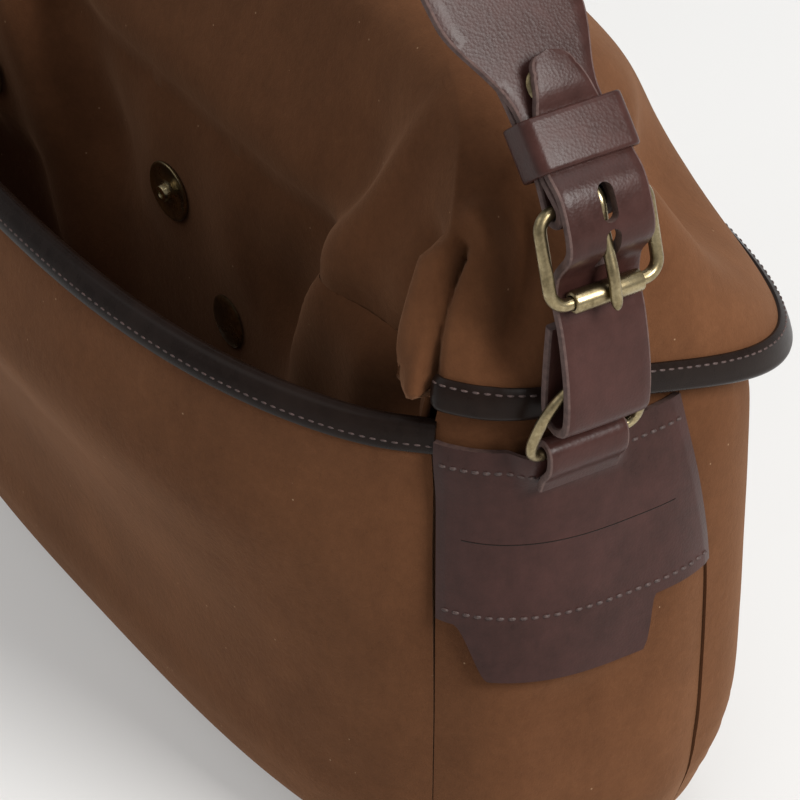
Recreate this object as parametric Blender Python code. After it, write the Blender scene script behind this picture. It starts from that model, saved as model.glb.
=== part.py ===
"""Suede musette bag with a hooded flap, a gaping back pocket and a buckled leather strap.

Frame: metres, +Z up, the base rests on z = 0. The length runs along X, the back pocket
faces -Y and the front faces +Y. Both ends carry the same ring, tab, buckle and keeper.
"""

import math

import bmesh
import bpy
import numpy as np
from mathutils import Vector
from mathutils.bvhtree import BVHTree

MM = 0.001

# Wall and gap sizes
SUEDE = 2.0 * MM
GAP = 0.3 * MM
BINDING_T = 1.3 * MM
BINDING_GAP = 0.75 * MM
BINDING_INNER_GAP = 1.15 * MM
RIM_GAP = 0.9 * MM
BINDING_LEG = 9.5 * MM
BINDING_INNER_LEG = 7.0 * MM
PATCH_T = 2.0 * MM
STRAP_T = 2.5 * MM

# Plan outline: a superellipse about the line y = Y_MIDDLE, wider towards the front and back
Y_MIDDLE = 15.0
BODY_POWER = 3.0
CORNER_GAIN = 1.7
FRONT_SEAM = math.radians(75.0)
SEAM_TURN = math.radians(8.0)
SEAM_TURN_START = 90.0
SEAM_TURN_RISE = 80.0
BACK_SEAM = math.radians(123.2)
SEAM_GAP_ANGLE = math.radians(0.6)
SEAM_PINCH = 2.5
SEAM_PINCH_ANGLE = math.radians(5.0)

# Side walls by height, all in millimetres: half length, reach to the front, reach to the
# back, how far the pocket panel swells past the back outline at the bag's middle, and how
# far the back corners stand out beyond the outline
BODY_LEVELS = {
    "height": (0, 3, 10, 24, 45, 70, 95, 120, 142, 163, 175, 186, 196),
    "half_length": (148, 155, 162, 168, 171, 172, 172, 172, 171, 167, 163.5, 160.5, 156),
    "front_reach": (46, 52, 59, 65, 67.5, 68, 68, 68, 68, 67.5, 66, 63, 58),
    "back_reach": (50, 56, 63, 69, 71.5, 72, 72, 72, 72, 72, 65, 57, 50),
    "pocket_swell": (0, 0, 0, 0, 0, 4, 13, 23, 22, 15.5, 12, 10, 8),
    "corner_out": (0, 0, 0, 0, 0, 0, 0, 0, 0.8, 3.6, 5, 5, 5),
}
POCKET_EDGE_END = 162.5
POCKET_EDGE_SAG = 0.5
FRONT_PANEL_TOP = 190.0
POCKET_ROWS = 11
POCKET_COLUMNS = 23
ROW_CROWDING = 1.3
BINDING_END = 0.01
BASE_INSET = 3.2
GUSSET_TOP = 182.0

# Hood by level, from its lower edge to its crown, all in millimetres: height at the back
# corner, the end and the front, half length, front reach, back reach, outline power at the
# back and at the front, and how far the back wall sinks in at the middle
HOOD_LEVELS = {
    "back_height": (176, 191, 206, 221, 233, 239, 242),
    "end_height": (170, 187, 204, 219, 232, 239, 242),
    "front_height": (150, 174, 197, 216, 231, 239, 242),
    "half_length": (171.5, 170, 164.5, 152.5, 132, 91, 30),
    "front_reach": (78, 75, 67, 53, 37, 22, 6),
    "back_reach": (66, 61, 53, 42, 27, 12, 2),
    "power": (4.0, 3.7, 3.4, 3.1, 2.8, 2.4, 2.2),
    "front_power": (4.0, 2.9, 2.45, 2.25, 2.1, 2.0, 2.0),
    "wall_sink": (30, 31, 29, 23, 12, 3, 0),
}
HOOD_ROWS = 11
HOOD_STEP = (len(HOOD_LEVELS["power"]) - 1) / HOOD_ROWS
WALL_END = 0.822
EAR_START = 0.862
BINDING_START = 0.9
WALL_FOOT = 8.0
WALL_FULL_HEIGHT = 163.0
WALL_TUCK = 6.0
WALL_SINK_POWER = 4.0
RIDGE_DEPTH = 9.0
DIP_PLACE = (131.0, 46.0)
DIP_DEPTH = 12.0
DIP_RADIUS = 19.0

# Fixed sizes of the strap parts, millimetres
RING_WIRE = 3.0
RING_WIDTH = 29.0
RING_DEPTH = 26.0
RING_LEAN = 0.278
FOLD_RADIUS = 4.8
TAB_WIDTH = 25.0
STRAP_WIDTH = 40.0
BUCKLE_WIRE = 3.4
BUCKLE_INNER_WIDTH = 28.0
ROLLER_RADIUS = 2.9
KEEPER_T = 1.8
TAB_STEPS = 42
STRAP_STEPS = 161
KEEPER_HEIGHT = 14.0
KEEPER_START = 8.5
PLY_START = 7.5
INNER_PLY_END = 50.0
RIVET_AT = 29.5
FLARE_START = 24.0
FLARE_LENGTH = 27.0
TAB_OVER = 0.7
RIVET_RADIUS = 5.0
DISC_RADIUS = 9.0

# Half the distance of the strap's two plies, and the wrap's radius round the heel bar
PLY = STRAP_T / 2 + GAP * 2 / 3
HEEL_WRAP = BUCKLE_WIRE / 2 * MM + GAP + STRAP_T / 2

# Places of the end hardware on the +X side, millimetres (x, z), at y = HARDWARE_Y
HARDWARE_Y = -4.0
RING_BAR = (174.9, 163.3)
FOLD_CENTRE = (180.3, 178.5)
ROLLER_CENTRE = (183.3, 212.8)
HEEL_CENTRE = (176.1, 235.4)

# The strap's middle line above the heel bar, millimetres
ARCH_POINTS = (
    (176.1, -4.0, 235.4),
    (168.3, -4.0, 244.2),
    (160.5, -4.3, 253.0),
    (152.2, -5.5, 262.4),
    (142.8, -8.0, 273.0),
    (128.0, -11.0, 291.5),
    (108.0, -14.0, 318.0),
    (84.0, -16.5, 350.0),
    (56.0, -18.0, 380.0),
    (28.0, -18.5, 402.0),
    (0.0, -18.5, 410.0),
)

# Side patch, millimetres
PATCH_BOTTOM = 105.0
PATCH_TOP = 157.0
PATCH_TAB_BOTTOM = 88.0
PATCH_TAB_HALF = 19.0
PATCH_SLOPE_HALF = 25.0
PATCH_INSET = math.radians(1.2)

# Studs on the sunken back wall, millimetres: middle x and z
MAGNET_PLACE = (-12.0, 141.0)
DISC_PLACES = {"wall_disc_near": (17.0, 113.0), "wall_disc_far": (-99.0, 140.0)}


def clear_scene():
    for obj in list(bpy.data.objects):
        bpy.data.objects.remove(obj, do_unlink=True)


def material(name, colour, roughness, metallic=0.0):
    mat = bpy.data.materials.new(name)
    mat.use_nodes = True
    shader = mat.node_tree.nodes["Principled BSDF"]
    shader.inputs["Base Color"].default_value = (*colour, 1.0)
    shader.inputs["Roughness"].default_value = roughness
    shader.inputs["Metallic"].default_value = metallic
    return mat


def smooth_curve(knots, values, at):
    """Catmull-Rom through the values at uneven knots, read at one place."""
    knots = np.asarray(knots, dtype=float)
    values = np.asarray(values, dtype=float)
    slopes = np.gradient(values, knots, axis=0)
    i = int(np.clip(np.searchsorted(knots, at) - 1, 0, len(knots) - 2))
    span = knots[i + 1] - knots[i]
    t = min(max((at - knots[i]) / span, 0.0), 1.0)
    rise = 2 * t**3 - 3 * t**2 + 1
    fall = t**3 - 2 * t**2 + t
    lead = t**3 - t**2
    return (
        rise * values[i]
        + fall * span * slopes[i]
        + (1 - rise) * values[i + 1]
        + lead * span * slopes[i + 1]
    )


def body_size(column, height):
    return float(smooth_curve(BODY_LEVELS["height"], BODY_LEVELS[column], height))


def superellipse(angle, half_length, front_reach, back_reach, power):
    """Plan point at an angle counted from the front's middle, through +X, to the back's."""
    side = math.copysign(abs(math.sin(angle)) ** (2.0 / power), math.sin(angle))
    forward = math.copysign(abs(math.cos(angle)) ** (2.0 / power), math.cos(angle))
    reach = front_reach if forward > 0 else back_reach
    return half_length * side, Y_MIDDLE + reach * forward


def body_point(angle, height):
    """Outer face of the front, a gusset or the unswollen back at one height."""
    x, y = superellipse(
        angle,
        body_size("half_length", height),
        body_size("front_reach", height),
        body_size("back_reach", height),
        BODY_POWER,
    )
    if y < Y_MIDDLE:
        middle_share = (Y_MIDDLE - y) / body_size("back_reach", height)
        x += CORNER_GAIN * body_size("corner_out", height) * middle_share * math.sin(angle)
    off_seam = (math.acos(math.cos(angle)) - BACK_SEAM) / SEAM_PINCH_ANGLE
    pinch = SEAM_PINCH * math.exp(-(off_seam**2))
    inward = Vector((-x * 0.6, Y_MIDDLE - y, 0.0)).normalized() * pinch
    return (Vector((x, y, height)) + inward) * MM


def front_seam(height):
    """Angle of the seam between a gusset and the front, which narrows the gusset's top."""
    rise = min(max((height - SEAM_TURN_START) / SEAM_TURN_RISE, 0.0), 1.0)
    return FRONT_SEAM + SEAM_TURN * rise * rise * (3 - 2 * rise)


def pocket_edge_height(angle):
    x = superellipse(angle, 1.0, 1.0, 1.0, BODY_POWER)[0]
    seam_x = superellipse(BACK_SEAM, 1.0, 1.0, 1.0, BODY_POWER)[0]
    return POCKET_EDGE_END - POCKET_EDGE_SAG * (1 - min(abs(x) / seam_x, 1.0) ** 2)


def pocket_point(angle, share):
    """Outer face of the pocket panel; share runs from 0 at the base to 1 at the edge."""
    height = share * pocket_edge_height(angle)
    point = body_point(angle, height)
    seam_x = superellipse(BACK_SEAM, body_size("half_length", height), 1, 1, BODY_POWER)[0]
    middle = max(1 - abs(point.x / MM / seam_x) ** 2.2, 0.0)
    point.y -= body_size("pocket_swell", height) * middle * MM
    return point


def hood_size(column, level):
    values = HOOD_LEVELS[column]
    return float(smooth_curve(range(len(values)), values, level))


def wall_ridge(x, height):
    """The soft vertical fold on each side of the sunken middle of the back wall."""
    ridge_x = 72 + (height - 134) * 0.35
    near = math.exp(-(((abs(x) - ridge_x) / 16) ** 2))
    return RIDGE_DEPTH * near * min(max((height - 40) / 60, 0.0), 1.0)


def hood_point(angle, level):
    """Outer face of the hood; level 0 is its lower edge, the last level its crown.

    The top sinks behind each front corner.
    """
    x, y = superellipse(
        angle,
        hood_size("half_length", level),
        hood_size("front_reach", level),
        hood_size("back_reach", level),
        hood_size("front_power" if math.cos(angle) > 0 else "power", level),
    )
    forward = math.cos(angle)
    side = "front" if forward > 0 else "back"
    far_height = hood_size(side + "_height", level)
    height = hood_size("end_height", level)
    height += (far_height - height) * abs(y - Y_MIDDLE) / hood_size(side + "_reach", level)
    off_dip = math.hypot(abs(x) - DIP_PLACE[0], y - DIP_PLACE[1]) / DIP_RADIUS
    height -= DIP_DEPTH * math.exp(-(off_dip**2))
    if forward < 0:
        share = min(abs(x) / (hood_size("half_length", level) * 0.87), 1.0)
        y += hood_size("wall_sink", level) * (1 - share**WALL_SINK_POWER)
        fade = max(1 - level / 4.5, 0.0)
        y -= wall_ridge(x, height) * fade * (1 - share**6)
        if abs(x) < hood_size("half_length", level) * (WALL_END + EAR_START) / 2:
            y += WALL_TUCK * max(1 - level, 0.0) ** 2
    return Vector((x, y, height)) * MM


def wall_point(angle, height):
    """Outer face of the back wall below the hood's edge level."""
    top = hood_point(angle, 0.0)
    length_scale = body_size("half_length", height) / body_size("half_length", 172)
    reach_scale = body_size("back_reach", height) / body_size("back_reach", WALL_FULL_HEIGHT)
    foot = max(1 - height / 60, 0.0)
    y = Y_MIDDLE * MM + (top.y - Y_MIDDLE * MM) * reach_scale * (1 - 0.08 * foot)
    relief = (wall_ridge(top.x / MM, 172) - wall_ridge(top.x / MM, height)) * MM
    return Vector((top.x * length_scale, y + relief * (1 - foot), height * MM))


def new_object(name, verts, faces, mat):
    mesh = bpy.data.meshes.new(name)
    mesh.from_pydata([tuple(v) for v in verts], [], faces)
    bm = bmesh.new()
    bm.from_mesh(mesh)
    bmesh.ops.recalc_face_normals(bm, faces=bm.faces)
    bm.to_mesh(mesh)
    bm.free()
    mesh.materials.append(mat)
    mesh.shade_smooth()
    mesh.set_sharp_from_angle(angle=math.radians(40))
    obj = bpy.data.objects.new(name, mesh)
    bpy.context.scene.collection.objects.link(obj)
    return obj


def grid_faces(rows, columns, offset=0):
    faces = []
    for r in range(rows - 1):
        for c in range(columns - 1):
            corner = offset + r * columns + c
            faces.append((corner, corner + 1, corner + columns + 1, corner + columns))
    return faces


def face_outward(obj, outside):
    """Turns a sheet's faces to the side of a point that lies outside it."""
    mesh = obj.data
    total = sum((outside - f.center).dot(f.normal) * f.area for f in mesh.polygons)
    if total < 0:
        mesh.flip_normals()


def thicken(obj, thickness):
    shell = obj.modifiers.new("wall", "SOLIDIFY")
    shell.thickness = thickness
    shell.offset = -1.0
    shell.use_even_offset = True


def sheet(name, rows, columns, point, outside, mat, thickness=SUEDE):
    """A thin wall from point(row share, column share), thickened inwards."""
    verts = []
    for r in range(rows):
        for c in range(columns):
            verts.append(point(r / (rows - 1), c / (columns - 1)))
    obj = new_object(name, verts, grid_faces(rows, columns), mat)
    face_outward(obj, Vector(outside))
    thicken(obj, thickness)
    return obj


def swept(name, rings, mat, closed=False):
    """A solid from a row of equal section rings, capped at both ends unless closed."""
    count = len(rings[0])
    verts = [v for ring in rings for v in ring]
    faces = []
    spans = len(rings) if closed else len(rings) - 1
    for i in range(spans):
        a = i * count
        b = ((i + 1) % len(rings)) * count
        for k in range(count):
            n = (k + 1) % count
            faces.append((a + k, a + n, b + n, b + k))
    if not closed:
        faces.append(tuple(range(count)))
        faces.append(tuple(range(len(verts) - 1, len(verts) - 1 - count, -1)))
    return new_object(name, verts, faces, mat)


def resampled(points, count):
    """Evenly spaced points on a Catmull-Rom curve through the given ones."""
    points = [np.array(p, dtype=float) for p in points]
    lengths = [0.0]
    for a, b in zip(points, points[1:]):
        lengths.append(lengths[-1] + float(np.linalg.norm(b - a)))
    places = np.linspace(0.0, lengths[-1], count)
    return [Vector(smooth_curve(lengths, points, s)) for s in places]


def tangents(path, closed=False):
    result = []
    last = len(path) - 1
    for i in range(len(path)):
        before = path[i - 1] if (i > 0 or closed) else path[0]
        after = path[(i + 1) % len(path)] if (i < last or closed) else path[last]
        result.append((after - before).normalized())
    return result


def round_bar(name, path, radius, sides, mat, closed=False, across=None):
    """A wire of round section along a path; across is the direction it lies flat in."""
    rings = []
    for p, t in zip(path, tangents(path, closed)):
        n = t.cross(across).normalized()
        b = t.cross(n)
        ring = []
        for k in range(sides):
            turn = 2 * math.pi * k / sides
            ring.append(p + (n * math.cos(turn) + b * math.sin(turn)) * radius)
        rings.append(ring)
    return swept(name, rings, mat, closed)


def ribbon(name, path, widths, thickness, mat, across=Vector((0, 1, 0))):
    """A flat strap of rectangular section; its width runs along across."""
    rings = []
    for p, t, width in zip(path, tangents(path), widths):
        n = t.cross(across).normalized() * thickness / 2
        w = across * width / 2
        rings.append([p - w - n, p + w - n, p + w + n, p - w + n])
    return swept(name, rings, mat)


def binding_section(normal, down, edge):
    """Folded strip over a wall's edge: outside leg, rounded top, inside leg."""
    out = BINDING_GAP
    back = -SUEDE - BINDING_INNER_GAP
    t = BINDING_T
    middle = (out + back) / 2
    half = (out - back) / 2 + t
    profile = [(out + t, BINDING_LEG)]
    for turn in (0, 60, 120, 180):
        a = math.radians(turn)
        profile.append((middle + half * math.cos(a), -half * 0.85 * math.sin(a)))
    profile += [(back - t, BINDING_INNER_LEG), (back, BINDING_INNER_LEG)]
    profile += [(back, -RIM_GAP), (out, -RIM_GAP), (out, BINDING_LEG)]
    return [edge + normal * n + down * d for n, d in profile]


def edge_binding(name, places, point, mat):
    """Binding along an edge; point(place, depth share) lies on the wall's outer face."""
    edges = [point(place, 0.0) for place in places]
    rings = []
    for place, edge, along in zip(places, edges, tangents(edges)):
        below = point(place, 1.0)
        down = (below - edge).normalized()
        down = (down - along * down.dot(along)).normalized()
        normal = down.cross(along).normalized()
        if normal.dot(edge - Vector((0.0, Y_MIDDLE * MM, edge.z))) < 0:
            normal = -normal
        rings.append(binding_section(normal, down, edge))
    return swept(name, rings, mat)


def finished_copy(obj, name):
    """The object's evaluated mesh mirrored to the -X end, as its own object."""
    graph = bpy.context.evaluated_depsgraph_get()
    mesh = bpy.data.meshes.new_from_object(obj.evaluated_get(graph))
    for v in mesh.vertices:
        v.co.x = -v.co.x
    mesh.flip_normals()
    mesh.name = name
    copy = bpy.data.objects.new(name, mesh)
    bpy.context.scene.collection.objects.link(copy)
    return copy


def cut(obj, cutter):
    cutter.hide_render = True
    cutter.display_type = "WIRE"
    boolean = obj.modifiers.new("cut", "BOOLEAN")
    boolean.operation = "DIFFERENCE"
    boolean.solver = "EXACT"
    boolean.object = cutter


def slot_cutter(name, centre, along, out, length, width, depth):
    """An oval slot's cutter: length and width across the hole, depth through the strap."""
    side = along.cross(out)
    outline = []
    for k in range(12):
        turn = 2 * math.pi * (k + 0.5) / 12
        shift = (length - width) / 2 * (1 if math.sin(turn) > 0 else -1)
        flat = side * math.cos(turn) * width / 2
        outline.append(flat + along * (math.sin(turn) * width / 2 + shift))
    rings = [[centre + p + out * depth * s for p in outline] for s in (-0.5, 0.5)]
    return swept(name, rings, MATERIALS["brass"])


def make_front_panel():
    def point(row, column):
        height = row**ROW_CROWDING * FRONT_PANEL_TOP
        angle = (2 * column - 1) * (front_seam(height) - SEAM_GAP_ANGLE)
        return body_point(angle, height)

    return sheet("front_panel", 11, 17, point, (0, 1, 0.1), MATERIALS["suede"])


def make_gusset():
    def point(row, column):
        height = row**ROW_CROWDING * GUSSET_TOP
        start = front_seam(height) + SEAM_GAP_ANGLE
        angle = start + column * (BACK_SEAM - SEAM_GAP_ANGLE - start)
        return body_point(angle, height)

    return sheet("gusset_right", 11, 9, point, (1, 0, 0.1), MATERIALS["suede"])


def make_pocket_panel():
    def point(row, column):
        return pocket_point(pocket_angle(column), row**ROW_CROWDING)

    return sheet("pocket_panel", POCKET_ROWS, POCKET_COLUMNS, point, (0, -1, 0.1), MATERIALS["suede"])


def pocket_angle(column):
    """Angle of a column share of the pocket, from one back seam to the other."""
    return BACK_SEAM + SEAM_GAP_ANGLE + column * 2 * (math.pi - BACK_SEAM - SEAM_GAP_ANGLE)


def make_pocket_binding():
    next_row = ((POCKET_ROWS - 2) / (POCKET_ROWS - 1)) ** ROW_CROWDING
    places = [k / (POCKET_COLUMNS - 1) for k in range(POCKET_COLUMNS)]
    places[0] = BINDING_END
    places[-1] = 1 - BINDING_END

    def point(place, depth):
        return pocket_point(pocket_angle(place), 1 - depth * (1 - next_row))

    return edge_binding("pocket_binding", places, point, MATERIALS["binding"])


def make_base():
    """Flat bottom inside the side walls' feet."""
    foot = [BODY_LEVELS[column][0] for column in ("half_length", "front_reach", "back_reach")]
    outline = []
    for k in range(48):
        angle = 2 * math.pi * (k + 0.5) / 48 - math.pi
        x, y = superellipse(angle, *(reach - BASE_INSET for reach in foot), BODY_POWER)
        outline.append(Vector((x, y, 0.0)) * MM)
    lift = Vector((0, 0, SUEDE))
    rings = [outline, [p + lift for p in outline]]
    return swept("base_panel", rings, MATERIALS["suede"])


def hood_angles():
    """Angles round the hood at its edge, spaced by their share of the half length."""
    shares = (0.0, 0.16, 0.32, 0.48, 0.62, 0.74, WALL_END, EAR_START)
    shares += (BINDING_START, 0.935, 0.965, 0.995)
    quarter = [math.asin(s ** (HOOD_LEVELS["power"][0] / 2)) for s in shares]
    front = quarter + [math.pi / 2]
    back = [math.pi - a for a in reversed(quarter)]
    half = front + back
    return half + [-a for a in reversed(half[1:-1])]


def make_hood():
    """The back wall and the hooded flap: one sheet that runs up, over and down the front."""
    angles = hood_angles()
    count = len(angles)
    levels = np.arange(HOOD_ROWS) * HOOD_STEP
    verts = []
    faces = []
    for level in levels:
        verts += [hood_point(a, float(level)) for a in angles]
    for r in range(len(levels) - 1):
        for c in range(count):
            n = (c + 1) % count
            faces.append((r * count + c, r * count + n, (r + 1) * count + n, (r + 1) * count + c))
    faces.append(tuple(range((len(levels) - 1) * count, len(levels) * count)))
    limit = math.pi - math.asin(WALL_END ** (HOOD_LEVELS["power"][0] / 2)) - 1e-6
    wall = [c for c in range(count) if abs(angles[c]) >= limit]
    above = wall
    for height in (170, 148, 118, 84, 50, 24, WALL_FOOT):
        start = len(verts)
        verts += [wall_point(angles[c], height) for c in wall]
        row = list(range(start, len(verts)))
        for k in range(len(row) - 1):
            faces.append((above[k], above[k + 1], row[k + 1], row[k]))
        above = row
    obj = new_object("hood_and_back_wall", verts, faces, MATERIALS["suede"])
    top = max(obj.data.polygons, key=lambda f: f.center.z)
    if top.normal.z < 0:
        obj.data.flip_normals()
    thicken(obj, SUEDE)
    return obj


def make_flap_binding():
    edge_power = HOOD_LEVELS["power"][0]
    end = math.pi - math.asin(BINDING_START ** (edge_power / 2)) + 1e-6
    places = [a for a in hood_angles() if 0 <= a < end][::-1]
    places += [-a for a in reversed(places[:-1])]

    def point(angle, depth):
        return hood_point(angle, depth * HOOD_STEP)

    return edge_binding("flap_binding", places, point, MATERIALS["binding"])


def patch_bottom(y):
    """Lower outline of the patch: a straight hem with a tab hanging at the middle."""
    off = abs(y - HARDWARE_Y)
    share = (PATCH_SLOPE_HALF - off) / (PATCH_SLOPE_HALF - PATCH_TAB_HALF)
    share = min(max(share, 0.0), 1.0)
    share = share * share * (3 - 2 * share)
    return PATCH_BOTTOM + (PATCH_TAB_BOTTOM - PATCH_BOTTOM) * share


def make_patch():
    clearance = GAP + PATCH_T

    def point(row, column):
        end = BACK_SEAM - PATCH_INSET
        start = front_seam(PATCH_BOTTOM) + PATCH_INSET
        low = patch_bottom(body_point(start + column * (end - start), PATCH_BOTTOM).y / MM)
        height = low + row * (PATCH_TOP - low)
        start = front_seam(height) + PATCH_INSET
        angle = start + column * (end - start)
        here = body_point(angle, height)
        ahead = body_point(angle + 0.01, height)
        outward = Vector((-(ahead - here).y, (ahead - here).x, 0.0)).normalized()
        return here + outward * clearance

    return sheet("patch_right", 5, 17, point, (1, 0, 0.1), MATERIALS["leather"], PATCH_T)


def side_view(points):
    """Points given as (x, z) in millimetres, at the hardware's own y."""
    return [Vector((x, HARDWARE_Y, z)) * MM for x, z in points]


def arc(centre, radius, start, end, steps):
    """(x, z) points on an arc; angles in degrees from +X towards +Z."""
    result = []
    for k in range(steps + 1):
        turn = math.radians(start + (end - start) * k / steps)
        result.append((centre[0] + radius * math.cos(turn), centre[1] + radius * math.sin(turn)))
    return result


def make_ring_loop():
    """The patch's upper strip, folded over the ring's straight bar."""
    x, z = RING_BAR
    radius = RING_WIRE / 2 + GAP / MM + PATCH_T / MM / 2
    line = [(x - 1.7, z - 12.0), (x - 0.4, z - 8.5), (x + radius - 0.2, z - 3.8)]
    line += arc(RING_BAR, radius, 0, 180, 8)
    line += [(x - radius, z - 1.4)]
    path = side_view(line)
    widths = [24.0 * MM] * len(path)
    return ribbon("ring_loop_right", path, widths, PATCH_T, MATERIALS["leather"])


def make_ring():
    """D-ring: a straight bar in the loop and a bow that stands up, leaning outwards."""
    x, z = RING_BAR
    half = (RING_WIDTH + RING_WIRE) / 2
    corner = 4.0
    rise = Vector((RING_LEAN, 0.0, 1.0)).normalized()
    points = []
    for k in range(9):
        points.append((-half + corner + (2 * half - 2 * corner) * k / 8, 0.0))
    for turn in (-60, -30, 0):
        a = math.radians(turn)
        points.append((half - corner + corner * math.cos(a), corner + corner * math.sin(a)))
    for k in range(1, 12):
        a = math.pi * k / 12
        points.append((half * math.cos(a), corner + (RING_DEPTH - corner) * math.sin(a)))
    for turn in (180, 210, 240):
        a = math.radians(turn)
        points.append((-half + corner + corner * math.cos(a), corner + corner * math.sin(a)))
    bar = Vector((x, HARDWARE_Y, z)) * MM
    path = [bar + (Vector((0, w, 0)) + rise * h) * MM for w, h in points]
    across = Vector((0, 1, 0)).cross(rise)
    return round_bar("d_ring_right", path, RING_WIRE / 2 * MM, 6, MATERIALS["brass"], True, across)


def lean():
    """Unit directions of the strap at the heel bar: up the strap, and outwards from it."""
    up = Vector((ARCH_POINTS[1][0] - ARCH_POINTS[0][0], 0, ARCH_POINTS[1][2] - ARCH_POINTS[0][2]))
    up = up.normalized()
    return up, Vector((up.z, 0, -up.x))


def strap_line():
    return resampled([Vector(p) * MM for p in ARCH_POINTS], STRAP_STEPS)


def buckle_lean():
    """Unit directions of the buckle: from its roller to its heel bar, and outwards."""
    rise = Vector((HEEL_CENTRE[0] - ROLLER_CENTRE[0], 0, HEEL_CENTRE[1] - ROLLER_CENTRE[1]))
    rise = rise.normalized()
    return rise, Vector((rise.z, 0, -rise.x))


def strap_place(distance):
    """Point, up and outward directions on the strap line, a distance above the heel bar."""
    line = strap_line()
    travelled = 0.0
    for a, b in zip(line, line[1:]):
        step = (b - a).length
        if travelled + step >= distance:
            up = (b - a).normalized()
            out = Vector((0, 1, 0)).cross(up).normalized()
            return a + up * (distance - travelled), up, out
        travelled += step
    return line[-1], up, out


def make_shoulder_strap():
    """One strap from buckle to buckle; each end folds inwards round its heel bar."""
    plies = []
    steps = 9
    for k in range(steps):
        distance = INNER_PLY_END - (INNER_PLY_END - PLY_START) * k / (steps - 1)
        p, up, out = strap_place(distance * MM)
        plies.append((p - out * PLY, 24.0))
    heel = Vector((HEEL_CENTRE[0], HARDWARE_Y, HEEL_CENTRE[1])) * MM
    up, out = lean()
    for k in range(9):
        turn = math.pi * k / 8
        offset = -out * math.cos(turn) - up * math.sin(turn)
        plies.append((heel + offset * HEEL_WRAP, 24.0))
    length = 0.0
    line = strap_line()
    for a, b in zip(line, line[1:]):
        length += (b - a).length
    distances = [PLY_START, 16.0, 24.0, 29.0, 33.0, 38.0, 43.0, 51.0, 64.0]
    distances += list(np.linspace(80.0, length / MM, 11))
    for d in distances:
        p, up, out = strap_place(d * MM)
        flare = min(max((d - FLARE_START) / FLARE_LENGTH, 0.0), 1.0)
        flare = flare * flare * (3 - 2 * flare)
        plies.append((p + out * PLY, 24.0 + (STRAP_WIDTH - 24.0) * flare))
    middle = plies[-1][0]
    plies[-1] = (Vector((0.0, middle.y, middle.z)), STRAP_WIDTH)
    mirrored = [(Vector((-p.x, p.y, p.z)), w) for p, w in reversed(plies[:-1])]
    whole = plies + mirrored
    path = [p for p, _ in whole]
    widths = [w * MM for _, w in whole]
    strap = ribbon("shoulder_strap", path, widths, STRAP_T, MATERIALS["leather"])
    rise_x, face_x = lean()
    for sign, label in ((1, "right"), (-1, "left")):
        centre = Vector((heel.x * sign, heel.y, heel.z))
        rise = Vector((rise_x.x * sign, 0, rise_x.z))
        face = Vector((face_x.x * sign, 0, face_x.z))
        cutter = slot_cutter(f"fold_slot_{label}", centre, rise, face, 17 * MM, 6 * MM, 16 * MM)
        cut(strap, cutter)
    return strap


def tab_path():
    """The ring tab: short inner ply, fold round the ring, up behind the roller, then over
    the heel bar and along the strap to its free tip."""
    radius = FOLD_RADIUS
    x, z = FOLD_CENTRE
    line = [(x - 3.6, z + 24.0), (x - 4.3, z + 16.0), (x - radius, z + 8.0)]
    line += arc(FOLD_CENTRE, radius, 180, 360, 8)
    behind = ROLLER_RADIUS + 0.4 + STRAP_T / MM / 2
    rx, rz = ROLLER_CENTRE
    line += [(x + radius, z + 8.0), (x + 3.4, z + 17.0), (x + 1.4, z + 25.0)]
    line += [(rx - behind, rz - 1.0), (rx - behind + 0.3, rz + 5.0)]
    path = side_view(line)
    heel = Vector((HEEL_CENTRE[0], HARDWARE_Y, HEEL_CENTRE[1])) * MM
    over = HEEL_WRAP + STRAP_T + TAB_OVER * MM
    rise, face = buckle_lean()
    up, out = lean()
    path.append(heel + face * over * 0.95 - rise * 9.0 * MM)
    path.append(heel + face * over - rise * 2.0 * MM)
    path.append(heel + out * over + up * 2.5 * MM)
    lifts = ((8.0, 1.1), (13.0, 0.6), (18.0, 0.5), (23.0, 0.9), (27.0, 2.4), (32.0, 2.9), (37.0, 2.9))
    for distance, lift in lifts:
        p, _, out = strap_place(distance * MM)
        path.append(p + out * (PLY + STRAP_T + lift * MM))
    return path


def make_ring_tab():
    path = tab_path()
    full = len(path) - 5
    widths = [TAB_WIDTH * MM] * full + [w * MM for w in (21.5, 20.0, 17.5, 14.0, 9.0)]
    fine = resampled(path, TAB_STEPS)
    knots = np.linspace(0, 1, len(path))
    lengths = [0.0]
    for a, b in zip(path, path[1:]):
        lengths.append(lengths[-1] + (b - a).length)
    spread = []
    for k in range(TAB_STEPS):
        share = np.interp(lengths[-1] * k / (TAB_STEPS - 1), lengths, knots)
        spread.append(float(np.interp(share, knots, widths)))
    tab = ribbon("ring_tab_right", fine, spread, STRAP_T, MATERIALS["leather"])
    up, out = buckle_lean()
    heel = Vector((HEEL_CENTRE[0], HARDWARE_Y, HEEL_CENTRE[1])) * MM
    for k, (distance, length) in enumerate(((-13.0, 13.5), (0.5, 10.0))):
        centre = heel + up * distance * MM + out * 6.0 * MM
        cut(tab, slot_cutter(f"tab_hole_{k}", centre, up, out, length * MM, 4.4 * MM, 12 * MM))
    return tab


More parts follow.
